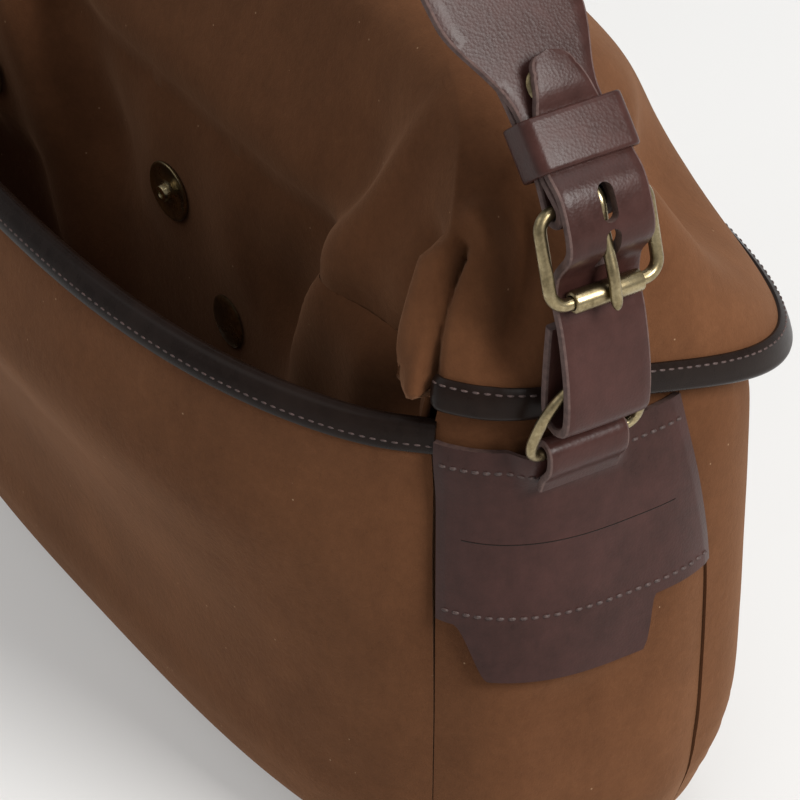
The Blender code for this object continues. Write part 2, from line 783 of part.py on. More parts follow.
def make_buckle():
    """Rounded frame, a loose roller on its lower bar and a prong from its heel bar."""
    heel = Vector((HEEL_CENTRE[0], HARDWARE_Y, HEEL_CENTRE[1])) * MM
    foot = Vector((ROLLER_CENTRE[0], HARDWARE_Y, ROLLER_CENTRE[1])) * MM
    rise = (heel - foot).normalized()
    height = (heel - foot).length
    half = (BUCKLE_INNER_WIDTH + BUCKLE_WIRE) / 2 * MM
    corner = 4.5 * MM
    middle = (heel + foot) / 2
    path = []
    for sx, sz, start in ((1, 1, 0), (-1, 1, 90), (-1, -1, 180), (1, -1, 270)):
        centre = Vector((0, sx * (half - corner), 0)) + rise * sz * (height / 2 - corner)
        for k in range(5):
            a = math.radians(start + 22.5 * k)
            bend = Vector((0, math.cos(a) * corner, 0)) + rise * math.sin(a) * corner
            path.append(middle + centre + bend)
    across = Vector((0, 1, 0)).cross(rise)
    brass = MATERIALS["brass"]
    frame = round_bar("buckle_frame_right", path, BUCKLE_WIRE / 2 * MM, 6, brass, True, across)
    outer = ROLLER_RADIUS * MM
    inner = (BUCKLE_WIRE / 2 + 0.3) * MM
    half_roller = half - corner - 1.2 * MM
    roller = turned("roller_right", foot, Vector((0, 1, 0)), [
        (inner, -half_roller), (outer, -half_roller), (outer, half_roller), (inner, half_roller)
    ], 16, brass, True)
    out = Vector((0, 1, 0)).cross(rise).normalized()
    if out.x < 0:
        out = -out
    heel_ring = (BUCKLE_WIRE / 2 + 0.3 + 1.3) * MM
    prong_path = []
    for turn in (-60, -20, 20, 60, 100, 140, 180, 220, 250):
        a = math.radians(turn)
        prong_path.append(heel + (out * math.cos(a) + rise * math.sin(a)) * heel_ring)
    prong_path.reverse()
    prong_path = prong_path[:-2]
    tip = foot + out * (ROLLER_RADIUS + 0.3 + 1.3) * MM
    prong_path.append(heel + out * 3.4 * MM - rise * 5.5 * MM)
    prong_path.append(heel + out * 4.0 * MM - rise * 12.0 * MM)
    prong_path.append(tip + rise * 5.0 * MM + out * 0.2 * MM)
    prong_path.append(tip)
    prong_path.append(tip - rise * 4.0 * MM - out * 0.3 * MM)
    prong = round_bar("prong_right", prong_path, 1.3 * MM, 6, brass, False, Vector((0, 1, 0)))
    return [frame, roller, prong]


def turned(name, centre, axis, profile, sides, mat, hollow=False):
    """A turned solid from (radius, height) pairs about an axis through the centre."""
    axis = axis.normalized()
    helper = Vector((0, 0, 1)) if abs(axis.z) < 0.9 else Vector((1, 0, 0))
    u = axis.cross(helper).normalized()
    v = axis.cross(u)
    rings = []
    for radius, height in profile:
        ring = []
        for k in range(sides):
            a = 2 * math.pi * k / sides
            ring.append(centre + axis * height + (u * math.cos(a) + v * math.sin(a)) * radius)
        rings.append(ring)
    return swept(name, rings, mat, closed=hollow)


def make_keeper():
    """A leather loop round both strap plies and the tab's free end."""
    inner_low = -PLY - STRAP_T / 2 - 0.6 * MM
    inner_high = PLY + STRAP_T * 1.5 + 1.4 * MM
    half = TAB_WIDTH / 2 * MM + 0.5 * MM
    corners = 3
    rings = []
    for share in (0.0, 0.5, 1.0):
        p, up, out = strap_place((KEEPER_START + KEEPER_HEIGHT * share) * MM)
        ring_in = []
        ring_out = []
        for sw, high, start in ((1, True, 0), (-1, True, 90), (-1, False, 180), (1, False, 270)):
            o = inner_high if high else inner_low
            for k in range(corners):
                a = math.radians(start + 90 * k / (corners - 1))
                at = p + Vector((0, sw * (half - 0.8 * MM), 0))
                at += out * (o - (0.8 * MM if high else -0.8 * MM))
                turn = Vector((0, math.cos(a), 0)) + out * math.sin(a)
                ring_in.append(at + turn * 0.8 * MM)
                ring_out.append(at + turn * (0.8 + KEEPER_T) * MM)
        rings.append((ring_in, ring_out))
    loops = [rings[0][0], rings[1][0], rings[2][0], rings[2][1], rings[1][1], rings[0][1]]
    return swept("keeper_right", loops, MATERIALS["leather"], closed=True)


def make_rivet():
    p, up, out = strap_place(RIVET_AT * MM)
    base = p + out * (PLY + STRAP_T / 2 + 0.25 * MM) - Vector((0, 2.0 * MM, 0))
    r = RIVET_RADIUS * MM
    profile = [(r * 0.9, 0.0), (r, 0.4 * MM), (r * 0.8, 1.1 * MM), (r * 0.4, 1.5 * MM)]
    return turned("rivet_right", base, out, profile, 16, MATERIALS["brass"])


def stud_seat(tree, x, z):
    """Place and direction of a flat stud that just clears the curved wall all round."""
    back = Vector((0, 1, 0))

    def wall(dx, dz):
        start = Vector(((x + dx), -300.0, z + dz)) * MM
        return tree.ray_cast(start, back)[0]

    r = DISC_RADIUS
    side = wall(r, 0) - wall(-r, 0)
    up = wall(0, r) - wall(0, -r)
    normal = side.cross(up).normalized()
    here = wall(0, 0)
    lift = 0.0
    for turn in range(0, 360, 30):
        a = math.radians(turn)
        rim = wall(r * math.cos(a), r * math.sin(a))
        lift = max(lift, (rim - here).dot(normal))
    return here + normal * (lift + GAP), normal


def make_studs(hood):
    made = []
    tree = BVHTree.FromObject(hood, bpy.context.evaluated_depsgraph_get())
    r = DISC_RADIUS * MM
    here, normal = stud_seat(tree, *MAGNET_PLACE)
    nub = 2.4 * MM
    profile = [(r, 0.0), (r, 0.8 * MM), (r * 0.94, 1.1 * MM), (nub + 1.2 * MM, 1.1 * MM)]
    profile += [(nub, 1.8 * MM), (nub, 3.4 * MM), (nub * 0.8, 3.8 * MM)]
    made.append(turned("magnet_stud", here, normal, profile, 16, MATERIALS["brass"]))
    for name, place in DISC_PLACES.items():
        here, normal = stud_seat(tree, *place)
        dome = [(r * 0.86, 0.0), (r * 0.86, 0.6 * MM), (r * 0.7, 1.2 * MM), (r * 0.3, 1.6 * MM)]
        made.append(turned(name, here, normal, dome, 16, MATERIALS["brass"]))
    return made


MATERIALS = {}


def main():
    clear_scene()
    MATERIALS["suede"] = material("suede", (0.13, 0.055, 0.022), 0.95)
    MATERIALS["binding"] = material("binding_leather", (0.018, 0.011, 0.009), 0.35)
    MATERIALS["leather"] = material("strap_leather", (0.055, 0.024, 0.022), 0.45)
    MATERIALS["brass"] = material("aged_brass", (0.42, 0.32, 0.15), 0.35, 1.0)
    make_base()
    make_front_panel()
    make_pocket_panel()
    make_pocket_binding()
    hood = make_hood()
    make_flap_binding()
    make_shoulder_strap()
    bpy.context.view_layer.update()
    make_studs(hood)
    ends = [make_gusset(), make_patch(), make_ring_loop(), make_ring(), make_ring_tab()]
    ends += make_buckle() + [make_keeper(), make_rivet()]
    bpy.context.view_layer.update()
    for obj in ends:
        finished_copy(obj, obj.name.replace("_right", "_left"))


main()
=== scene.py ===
"""Looks of the suede musette bag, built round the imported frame.

Metres, +Z up, the bag stands on z = 0. The open back pocket faces -Y and the photographed
end faces +X. The walls repeat the frame's own outlines, with the folds added.
"""

import math

import bmesh
import bpy
import numpy as np
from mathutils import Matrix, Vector


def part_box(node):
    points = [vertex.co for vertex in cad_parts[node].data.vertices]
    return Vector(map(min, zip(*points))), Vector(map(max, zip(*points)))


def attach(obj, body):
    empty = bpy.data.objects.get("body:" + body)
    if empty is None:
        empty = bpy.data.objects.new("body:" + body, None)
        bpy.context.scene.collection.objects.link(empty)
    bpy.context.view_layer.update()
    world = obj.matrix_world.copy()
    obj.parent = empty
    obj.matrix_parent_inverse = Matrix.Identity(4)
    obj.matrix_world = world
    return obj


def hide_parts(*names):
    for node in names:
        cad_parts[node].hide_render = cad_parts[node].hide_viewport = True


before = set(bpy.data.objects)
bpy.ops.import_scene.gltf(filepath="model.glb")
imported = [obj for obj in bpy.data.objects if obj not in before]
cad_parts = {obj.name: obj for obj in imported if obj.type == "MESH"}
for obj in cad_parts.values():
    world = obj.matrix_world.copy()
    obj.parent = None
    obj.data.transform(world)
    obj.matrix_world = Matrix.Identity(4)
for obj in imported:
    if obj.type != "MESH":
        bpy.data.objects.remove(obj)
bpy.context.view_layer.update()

MM = 0.001
SUEDE = 2.0 * MM
GAP = 0.3 * MM
PATCH_T = 2.0 * MM
STRAP_T = 2.5 * MM
Y_AXIS = Vector((0, 1, 0))

# Outlines shared with the frame's solids, millimetres
Y_MIDDLE = 15.0
BODY_POWER = 3.0
CORNER_GAIN = 1.7
FRONT_SEAM = math.radians(75.0)
SEAM_TURN = math.radians(8.0)
SEAM_TURN_START = 90.0
SEAM_TURN_RISE = 80.0
BACK_SEAM = math.radians(123.2)
SEAM_GAP_ANGLE = math.radians(0.12)
SEAM_PINCH = 2.0
SEAM_PINCH_ANGLE = math.radians(7.5)
FRONT_PINCH_SHARE = 0.8
SEAM_CREASE_SHARE = 0.15
SEAM_CREASE_TIGHTNESS = 4
PINCH_LEAN = 0.6
BODY_LEVELS = {
    "height": (0, 3, 10, 24, 45, 70, 95, 120, 142, 163, 175, 186, 196),
    "half_length": (148, 155, 162, 168, 171, 172, 172, 172, 171, 167, 163.5, 160.5, 156),
    "front_reach": (46, 52, 59, 65, 67.5, 68, 68, 68, 68, 67.5, 66, 63, 58),
    "back_reach": (50, 56, 63, 69, 71.5, 72, 72, 72, 72, 72, 65, 57, 50),
    "pocket_swell": (0, 0, 0, 0, 0, 4, 13, 23, 22, 15.5, 12, 10, 8),
    "corner_out": (0, 0, 0, 0, 0, 0, 0, 0, 0.8, 3.6, 5, 5, 5),
}
POCKET_EDGE_END = 162.5
POCKET_EDGE_SAG = 0.5
FRONT_PANEL_TOP = 190.0
GUSSET_TOP = 182.0
HOOD_LEVELS = {
    "back_height": (176, 191, 206, 221, 233, 239, 242),
    "end_height": (170, 187, 204, 219, 232, 239, 242),
    "front_height": (150, 174, 197, 216, 231, 239, 242),
    "half_length": (171.5, 170, 164.5, 152.5, 132, 91, 30),
    "front_reach": (78, 75, 67, 53, 37, 22, 6),
    "back_reach": (66, 61, 53, 42, 27, 12, 2),
    "power": (4.0, 3.7, 3.4, 3.1, 2.8, 2.4, 2.2),
    "front_power": (4.0, 2.9, 2.45, 2.25, 2.1, 2.0, 2.0),
    "wall_sink": (30, 31, 29, 23, 12, 3, 0),
}
# Shares of the half length: the wall's end, the ears' start, the wall's tuck and its sunken part
WALL_END = 0.822
EAR_START = 0.9
TUCK_START = 0.872
TUCK_SPAN = 0.03
SINK_REACH = 0.87
# Relief of the back wall and the hood, millimetres
WALL_TUCK = 6.0
WALL_SINK_POWER = 4.0
BLENDED_ROWS = 24
WALL_FOOT = 8.0
WALL_FOOT_RISE = 60.0
WALL_FOOT_TUCK = 0.08
WALL_TOP = 170.0
WALL_JOIN_HEIGHT = 172.0
WALL_FULL_HEIGHT = 163.0
RIDGE_DEPTH = 9.0
RIDGE_PLACE = (72.0, 134.0)
RIDGE_LEAN = 0.35
RIDGE_WIDTH = 16.0
RIDGE_START = 40.0
RIDGE_RISE = 60.0
RIDGE_LAST_LEVEL = 4.5
RIDGE_END_POWER = 6
DIP_PLACE = (131.0, 46.0)
DIP_DEPTH = 12.0
DIP_RADIUS = 19.0
SLUMP_PLACE = (122.0, 190.0)
SLUMP_SIZE = (27.0, 17.0)
SLUMP_DEPTH = 22.0
SLUMP_START = 18.0
SLUMP_FULL = 42.0
CORNER_STRIP_FOOT = 170.0

RING_WIRE = 3.0
RING_WIDTH = 29.0
RING_DEPTH = 26.0
RING_LEAN = 0.278
FOLD_RADIUS = 4.8
TAB_WIDTH = 25.0
STRAP_WIDTH = 40.0
BUCKLE_WIRE = 3.4
BUCKLE_INNER_WIDTH = 28.0
BUCKLE_CLEARANCE = 0.3
ROLLER_RADIUS = 2.9
KEEPER_T = 1.8
KEEPER_HEIGHT = 14.0
KEEPER_START = 8.5
PLY_START = 7.5
INNER_PLY_END = 50.0
RIVET_AT = 29.5
FLARE_START = 24.0
FLARE_LENGTH = 27.0
HEEL_WIDTH = 24.0
TAB_OVER = 0.7
RIVET_RADIUS = 5.0
DISC_RADIUS = 9.0
HARDWARE_Y = -4.0
RING_BAR = (174.9, 163.3)
FOLD_CENTRE = (180.3, 178.5)
ROLLER_CENTRE = (183.3, 212.8)
HEEL_CENTRE = (176.1, 235.4)
ARCH_POINTS = (
    (176.1, -4.0, 235.4),
    (168.3, -4.0, 244.2),
    (160.5, -4.3, 253.0),
    (152.2, -5.5, 262.4),
    (142.8, -8.0, 273.0),
    (128.0, -11.0, 291.5),
    (108.0, -14.0, 318.0),
    (84.0, -16.5, 350.0),
    (56.0, -18.0, 380.0),
    (28.0, -18.5, 402.0),
    (0.0, -18.5, 410.0),
)
PATCH_BOTTOM = 105.0
PATCH_TOP = 160.0
PATCH_TAB_BOTTOM = 88.0
PATCH_TAB_HALF = 19.0
PATCH_SLOPE_HALF = 25.0

# Camera at the photograph's angle: the point it looks at, its direction and its lens
CAMERA_AIM = Vector((0.1465, -0.040, 0.172))
CAMERA_AZIMUTH = math.radians(58.0)
CAMERA_ELEVATION = math.radians(35.0)
CAMERA_DISTANCE = 1.15
CAMERA_LENS = 207.0


def smooth_curve(knots, values, at):
    """Catmull-Rom through the values at uneven knots, read at one place."""
    knots = np.asarray(knots, dtype=float)
    values = np.asarray(values, dtype=float)
    slopes = np.gradient(values, knots, axis=0)
    i = int(np.clip(np.searchsorted(knots, at) - 1, 0, len(knots) - 2))
    span = knots[i + 1] - knots[i]
    t = min(max((at - knots[i]) / span, 0.0), 1.0)
    rise = 2 * t**3 - 3 * t**2 + 1
    fall = t**3 - 2 * t**2 + t
    lead = t**3 - t**2
    return (
        rise * values[i]
        + fall * span * slopes[i]
        + (1 - rise) * values[i + 1]
        + lead * span * slopes[i + 1]
    )


SIZE_CACHE = {}


def body_size(column, height):
    key = (column, round(height, 3))
    if key not in SIZE_CACHE:
        value = smooth_curve(BODY_LEVELS["height"], BODY_LEVELS[column], height)
        SIZE_CACHE[key] = float(value)
    return SIZE_CACHE[key]


def superellipse(angle, half_length, front_reach, back_reach, power):
    """Plan point at an angle counted from the front's middle, through +X, to the back's."""
    side = math.copysign(abs(math.sin(angle)) ** (2.0 / power), math.sin(angle))
    forward = math.copysign(abs(math.cos(angle)) ** (2.0 / power), math.cos(angle))
    reach = front_reach if forward > 0 else back_reach
    return half_length * side, Y_MIDDLE + reach * forward


def body_point(angle, height):
    """Outer face of the front, a gusset or the unswollen back at one height."""
    x, y = superellipse(
        angle,
        body_size("half_length", height),
        body_size("front_reach", height),
        body_size("back_reach", height),
        BODY_POWER,
    )
    if y < Y_MIDDLE:
        middle_share = (Y_MIDDLE - y) / body_size("back_reach", height)
        x += CORNER_GAIN * body_size("corner_out", height) * middle_share * math.sin(angle)
    turned_angle = math.acos(math.cos(angle))
    pinch = 0.0
    front_pinch = SEAM_PINCH * FRONT_PINCH_SHARE
    for seam, depth in ((BACK_SEAM, SEAM_PINCH), (front_seam(height), front_pinch)):
        off_seam = (turned_angle - seam) / SEAM_PINCH_ANGLE
        valley = (1 - SEAM_CREASE_SHARE) * math.exp(-(off_seam**2))
        crease = SEAM_CREASE_SHARE * math.exp(-abs(off_seam) * SEAM_CREASE_TIGHTNESS)
        pinch += depth * (valley + crease)
    inward = Vector((-x * PINCH_LEAN, Y_MIDDLE - y, 0.0)).normalized() * pinch
    return (Vector((x, y, height)) + inward) * MM


def front_seam(height):
    """Angle of the seam between a gusset and the front, which narrows the gusset's top."""
    rise = min(max((height - SEAM_TURN_START) / SEAM_TURN_RISE, 0.0), 1.0)
    return FRONT_SEAM + SEAM_TURN * rise * rise * (3 - 2 * rise)


def pocket_edge_height(angle):
    x = superellipse(angle, 1.0, 1.0, 1.0, BODY_POWER)[0]
    seam_x = superellipse(BACK_SEAM, 1.0, 1.0, 1.0, BODY_POWER)[0]
    return POCKET_EDGE_END - POCKET_EDGE_SAG * (1 - min(abs(x) / seam_x, 1.0) ** 2)


def pocket_point(angle, share):
    """Outer face of the pocket panel; share runs from 0 at the base to 1 at the edge."""
    height = share * pocket_edge_height(angle)
    point = body_point(angle, height)
    seam_x = superellipse(BACK_SEAM, body_size("half_length", height), 1, 1, BODY_POWER)[0]
    middle = max(1 - abs(point.x / MM / seam_x) ** 2.2, 0.0)
    point.y -= body_size("pocket_swell", height) * middle * MM
    return point


def hood_size(column, level):
    key = (column, "hood", round(level, 4))
    if key not in SIZE_CACHE:
        values = HOOD_LEVELS[column]
        SIZE_CACHE[key] = float(smooth_curve(range(len(values)), values, level))
    return SIZE_CACHE[key]


def wall_ridge(x, height):
    """The soft vertical fold on each side of the sunken middle of the back wall."""
    ridge_x = RIDGE_PLACE[0] + (height - RIDGE_PLACE[1]) * RIDGE_LEAN
    near = math.exp(-(((abs(x) - ridge_x) / RIDGE_WIDTH) ** 2))
    return RIDGE_DEPTH * near * min(max((height - RIDGE_START) / RIDGE_RISE, 0.0), 1.0)


def hood_point(angle, level):
    """Outer face of the hood; level 0 is its lower edge, the last level its crown.

    The top sinks behind each front corner."""
    x, y = superellipse(
        angle,
        hood_size("half_length", level),
        hood_size("front_reach", level),
        hood_size("back_reach", level),
        hood_size("front_power" if math.cos(angle) > 0 else "power", level),
    )
    forward = math.cos(angle)
    side = "front" if forward > 0 else "back"
    far_height = hood_size(side + "_height", level)
    height = hood_size("end_height", level)
    height += (far_height - height) * abs(y - Y_MIDDLE) / hood_size(side + "_reach", level)
    off_dip = math.hypot(abs(x) - DIP_PLACE[0], y - DIP_PLACE[1]) / DIP_RADIUS
    height -= DIP_DEPTH * math.exp(-(off_dip**2))
    if forward < 0:
        share = min(abs(x) / (hood_size("half_length", level) * SINK_REACH), 1.0)
        y += hood_size("wall_sink", level) * (1 - share**WALL_SINK_POWER)
        fade = max(1 - level / RIDGE_LAST_LEVEL, 0.0)
        y -= wall_ridge(x, height) * fade * (1 - share**RIDGE_END_POWER)
        across = abs(x) / hood_size("half_length", level)
        tuck = min(max((TUCK_START - across) / TUCK_SPAN, 0.0), 1.0)
        y += WALL_TUCK * tuck * max(1 - level, 0.0) ** 2
    return Vector((x, y, height)) * MM


def wall_point(angle, height):
    """Outer face of the back wall below the hood's edge level."""
    top = hood_point(angle, 0.0)
    length_scale = body_size("half_length", height) / body_size("half_length", WALL_JOIN_HEIGHT)
    reach_scale = body_size("back_reach", height) / body_size("back_reach", WALL_FULL_HEIGHT)
    foot = max(1 - height / WALL_FOOT_RISE, 0.0)
    y = Y_MIDDLE * MM + (top.y - Y_MIDDLE * MM) * reach_scale * (1 - WALL_FOOT_TUCK * foot)
    join_ridge = wall_ridge(top.x / MM, WALL_JOIN_HEIGHT)
    relief = (join_ridge - wall_ridge(top.x / MM, height)) * MM
    return Vector((top.x * length_scale, y + relief * (1 - foot), height * MM))


# Mesh helpers


def new_object(name, verts, faces, mats, indices=None, sharp=40):
    mesh = bpy.data.meshes.new(name)
    mesh.from_pydata([tuple(v) for v in verts], [], faces)
    bm = bmesh.new()
    bm.from_mesh(mesh)
    bmesh.ops.recalc_face_normals(bm, faces=bm.faces)
    bm.to_mesh(mesh)
    bm.free()
    for mat in mats if isinstance(mats, (list, tuple)) else [mats]:
        mesh.materials.append(mat)
    if indices is not None:
        mesh.polygons.foreach_set("material_index", indices)
    mesh.shade_smooth()
    mesh.set_sharp_from_angle(angle=math.radians(sharp))
    obj = bpy.data.objects.new(name, mesh)
    bpy.context.scene.collection.objects.link(obj)
    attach(obj, "root")
    return obj


def grid_normals(grid):
    """Unit normals of a (rows, columns, 3) grid of points."""
    down = np.gradient(grid, axis=0)
    over = np.gradient(grid, axis=1)
    normals = np.cross(over, down)
    size = np.linalg.norm(normals, axis=2, keepdims=True)
    return normals / np.maximum(size, 1e-12)


def outward(normals, grid, outside):
    """Normals turned to the side of a point outside."""
    total = ((np.array(outside) - grid) * normals).sum()
    return normals if total > 0 else -normals


def shell(name, outer, inner, mats, sharp=50):
    """A closed wall between two equal grids; the second material goes on its raw edges."""
    rows, cols = outer.shape[:2]
    verts = np.concatenate([outer.reshape(-1, 3), inner.reshape(-1, 3)])
    shift = rows * cols
    faces = []
    indices = []
    for r in range(rows - 1):
        for c in range(cols - 1):
            a = r * cols + c
            faces.append((a, a + 1, a + cols + 1, a + cols))
            faces.append((shift + a, shift + a + cols, shift + a + cols + 1, shift + a + 1))
            indices += [0, 0]
    rim = list(range(cols))
    rim += [r * cols + cols - 1 for r in range(1, rows)]
    rim += [(rows - 1) * cols + c for c in range(cols - 2, -1, -1)]
    rim += [r * cols for r in range(rows - 2, 0, -1)]
    for a, b in zip(rim, rim[1:] + rim[:1]):
        faces.append((a, b, b + shift, a + shift))
        indices.append(1 if isinstance(mats, (list, tuple)) and len(mats) > 1 else 0)
    return new_object(name, verts, faces, mats, indices, sharp)


def resampled(points, count):
    """Evenly spaced points on a Catmull-Rom curve through the given ones."""
    points = [np.array(p, dtype=float) for p in points]
    lengths = [0.0]
    for a, b in zip(points, points[1:]):
        lengths.append(lengths[-1] + float(np.linalg.norm(b - a)))
    places = np.linspace(0.0, lengths[-1], count)
    return np.array([smooth_curve(lengths, points, s) for s in places])


def ramp(values, start, end):
    t = np.clip((values - start) / (end - start), 0.0, 1.0)
    return t * t * (3 - 2 * t)


FOLD_STEPS = 60


def add_fold(points, normals, line, depth, left, right, near=0.2, far=0.2):
    """Pushes points along their normals beside a line: depth in millimetres, out is positive.

    left and right are the fold's widths on the two sides of the line, as seen from outside
    with the line running upwards. The push fades over the shares near and far of the line at
    its two ends. Each fold comes at both ends of the bag."""
    path = resampled(line, FOLD_STEPS) * MM
    along = np.gradient(path, axis=0)
    along /= np.linalg.norm(along, axis=1, keepdims=True)
    flat = points.reshape(-1, 3)
    flat_normals = normals.reshape(-1, 3)
    result = np.zeros(len(flat))
    for side in (1, -1):
        where = flat * np.array([side, 1, 1])
        facing = flat_normals * np.array([side, 1, 1])
        gap = np.linalg.norm(where[:, None, :] - path[None, :, :], axis=2)
        nearest = gap.argmin(axis=1)
        offset = where - path[nearest]
        rightward = np.cross(along[nearest], facing)
        away = gap.min(axis=1)
        turn = 0.5 + 0.5 * (offset * rightward).sum(axis=1) / np.maximum(away, 1e-9)
        width = (left + (right - left) * np.clip(turn, 0.0, 1.0)) * MM
        amount = np.exp(-((away / width) ** 2))
        share = nearest / (FOLD_STEPS - 1)
        if near > 0:
            amount *= ramp(share, 0.0, near)
        amount *= 1 - ramp(share, 1 - far, 1.0)
        result += amount
    push = result.reshape(points.shape[:-1])[..., None] * depth * MM
    return points + normals * push


def swept(name, rings, mats, closed=False, sharp=40, indices=None):
    """A solid from a row of equal section rings, capped at both ends unless closed."""
    count = len(rings[0])
    verts = [v for ring in rings for v in ring]
    faces = []
    spans = len(rings) if closed else len(rings) - 1
    for i in range(spans):
        a = i * count
        b = ((i + 1) % len(rings)) * count
        for k in range(count):
            n = (k + 1) % count
            faces.append((a + k, a + n, b + n, b + k))
    if not closed:
        faces.append(tuple(range(count)))
        faces.append(tuple(range(len(verts) - 1, len(verts) - 1 - count, -1)))
    face_mats = None
    if indices is not None:
        face_mats = [indices[k] for _ in range(spans) for k in range(count)]
        if not closed:
            face_mats += [max(indices)] * 2
    return new_object(name, verts, faces, mats, face_mats, sharp)


def tangents(path, closed=False):
    result = []
    last = len(path) - 1
    for i in range(len(path)):
        before = path[i - 1] if (i > 0 or closed) else path[0]
        after = path[(i + 1) % len(path)] if (i < last or closed) else path[last]
        result.append((after - before).normalized())
    return result


def round_bar(name, path, radii, mat, closed, across, sides=20):
    """A round bar along a path with a radius at each point."""
    rings = []
    for p, t, radius in zip(path, tangents(path, closed), radii):
        n = t.cross(across).normalized()
        b = t.cross(n)
        ring = []
        for k in range(sides):
            turn = 2 * math.pi * k / sides
            ring.append(p + n * math.cos(turn) * radius + b * math.sin(turn) * radius)
        rings.append(ring)
    return swept(name, rings, mat, closed)


def strap_section(half_width, half_thickness, round_by, crown):
    """Section of a cut strap as (across, through) pairs with slightly rounded edges.

    Faces: the outer, one raw edge, the inner, the other raw edge."""
    pairs = []
    kinds = []
    steps = 10
    for k in range(steps + 1):
        w = -half_width + round_by + (2 * half_width - 2 * round_by) * k / steps
        lift = crown * (1 - (w / half_width) ** 2)
        pairs.append((w, half_thickness + lift))
        kinds.append(0)
    kinds[-1] = 1
    for w, h in ((0.35, 0.75), (0.0, 0.35), (0.0, -0.35), (0.35, -0.75)):
        pairs.append((half_width - round_by * w * 0.6, half_thickness * h))
        kinds.append(1)
    for k in range(steps + 1):
        w = half_width - round_by - (2 * half_width - 2 * round_by) * k / steps
        pairs.append((w, -half_thickness))
        kinds.append(0)
    kinds[-1] = 1
    for w, h in ((0.35, -0.75), (0.0, -0.35), (0.0, 0.35), (0.35, 0.75)):
        pairs.append((-half_width + round_by * w * 0.6, half_thickness * h))
        kinds.append(1)
    return pairs, kinds


def strap(name, path, widths, thickness, mats, across=Y_AXIS, crown=0.25 * MM):
    """A cut leather strap: smooth faces, raw edges; its outer face is on the right of the path."""
    rings = []
    kinds = None
    for p, t, width in zip(path, tangents(path), widths):
        n = across.cross(t).normalized()
        pairs, kinds = strap_section(width / 2, thickness / 2, 0.7 * MM, crown)
        rings.append([p + across * w + n * h for w, h in pairs])
    return swept(name, rings, mats, indices=kinds, sharp=32)


def finished(obj, name):
    """A new object with the modifiers applied."""
    bpy.context.view_layer.update()
    graph = bpy.context.evaluated_depsgraph_get()
    mesh = bpy.data.meshes.new_from_object(obj.evaluated_get(graph))
    mesh.name = name
    copy = bpy.data.objects.new(name, mesh)
    bpy.context.scene.collection.objects.link(copy)
    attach(copy, "root")
    return copy


def mirrored(obj, name):
    """The object's finished mesh at the -X end."""
    copy = finished(obj, name)
    for v in copy.data.vertices:
        v.co.x = -v.co.x
    copy.data.flip_normals()
    return copy


def both_ends(obj, node_name):
    """Hides the piece's frame nodes at both ends, and adds its twin at the other end."""
    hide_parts(node_name + "_right")
    twin = mirrored(obj, obj.name.replace("_right", "_left"))
    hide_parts(node_name + "_left")


def cut(obj, cutters):
    """The object with the cutters taken out of it."""
    for cutter in cutters:
        boolean = obj.modifiers.new("cut", "BOOLEAN")
        boolean.operation = "DIFFERENCE"
        boolean.solver = "EXACT"
        boolean.object = cutter
    name = obj.name
    obj.name = name + "_raw"
    whole = finished(obj, name)
    for piece in [obj] + cutters:
        bpy.data.objects.remove(piece, do_unlink=True)
    whole.data.shade_smooth()
    whole.data.set_sharp_from_angle(angle=math.radians(32))
    return whole


def slot_cutter(name, centre, along, out, length, width, depth):
    """An oval slot's cutter."""
    side = along.cross(out)
    outline = []
    for k in range(32):
        turn = 2 * math.pi * (k + 0.5) / 32
        shift = (length - width) / 2 * (1 if math.sin(turn) > 0 else -1)
        flat = side * math.cos(turn) * width / 2
        outline.append(flat + along * (math.sin(turn) * width / 2 + shift))
    rings = [[centre + p + out * depth * s for p in outline] for s in (-0.5, 0.5)]
    return swept(name, rings, RAW_MAT)


# A stitch from end to end: place along it, width and rise, as shares of its half length and radius
STITCH_PROFILE = (
    (-1.0, 0.25, -0.9), (-0.8, 0.7, -0.25), (-0.35, 1.0, 0.1),
    (0.35, 1.0, 0.1), (0.8, 0.7, -0.25), (1.0, 0.25, -0.9),
)
STITCH_SIDES = 6
STITCH_PITCH = 2.9
STITCH_STEP = 0.4 * MM


def stitches(name, path, normals, length=2.1, radius=0.33):
    """Thread stitches along a path, each a small pad half sunk in the surface."""
    path = np.array([tuple(p) for p in path])
    normals = np.array([tuple(n) for n in normals])
    run = along_line(path)
    count = int(run[-1] / (STITCH_PITCH * MM))
    sides = STITCH_SIDES

    def read(values, place):
        return np.array([np.interp(place, run, values[:, k]) for k in range(3)])

    verts = []
    faces = []
    for i in range(count):
        middle = (i + 0.5) * run[-1] / count
        here = read(path, middle)
        normal = read(normals, middle)
        normal /= np.linalg.norm(normal)
        along = read(path, middle + STITCH_STEP) - read(path, middle - STITCH_STEP)
        along /= np.linalg.norm(along)
        side = np.cross(normal, along)
        start = len(verts)
        for a, width, sink in STITCH_PROFILE:
            centre = here + along * a * length / 2 * MM + normal * sink * radius * MM
            for k in range(sides):
                turn = 2 * math.pi * k / sides
                push = side * math.cos(turn) * width + normal * math.sin(turn) * width
                verts.append(centre + push * radius * MM)
        last = start + (len(STITCH_PROFILE) - 1) * sides
        for a in range(start, last, sides):
            for k in range(sides):
                n = (k + 1) % sides
                faces.append((a + k, a + n, a + sides + n, a + sides + k))
        faces.append(tuple(start + k for k in range(sides)))
        faces.append(tuple(last + k for k in reversed(range(sides))))
    return new_object(name, verts, faces, ROSE_THREAD, None, 60)


# Materials


def node(tree, kind, **values):
    made = tree.nodes.new(kind)
    for key, value in values.items():
        setattr(made, key, value)
    return made


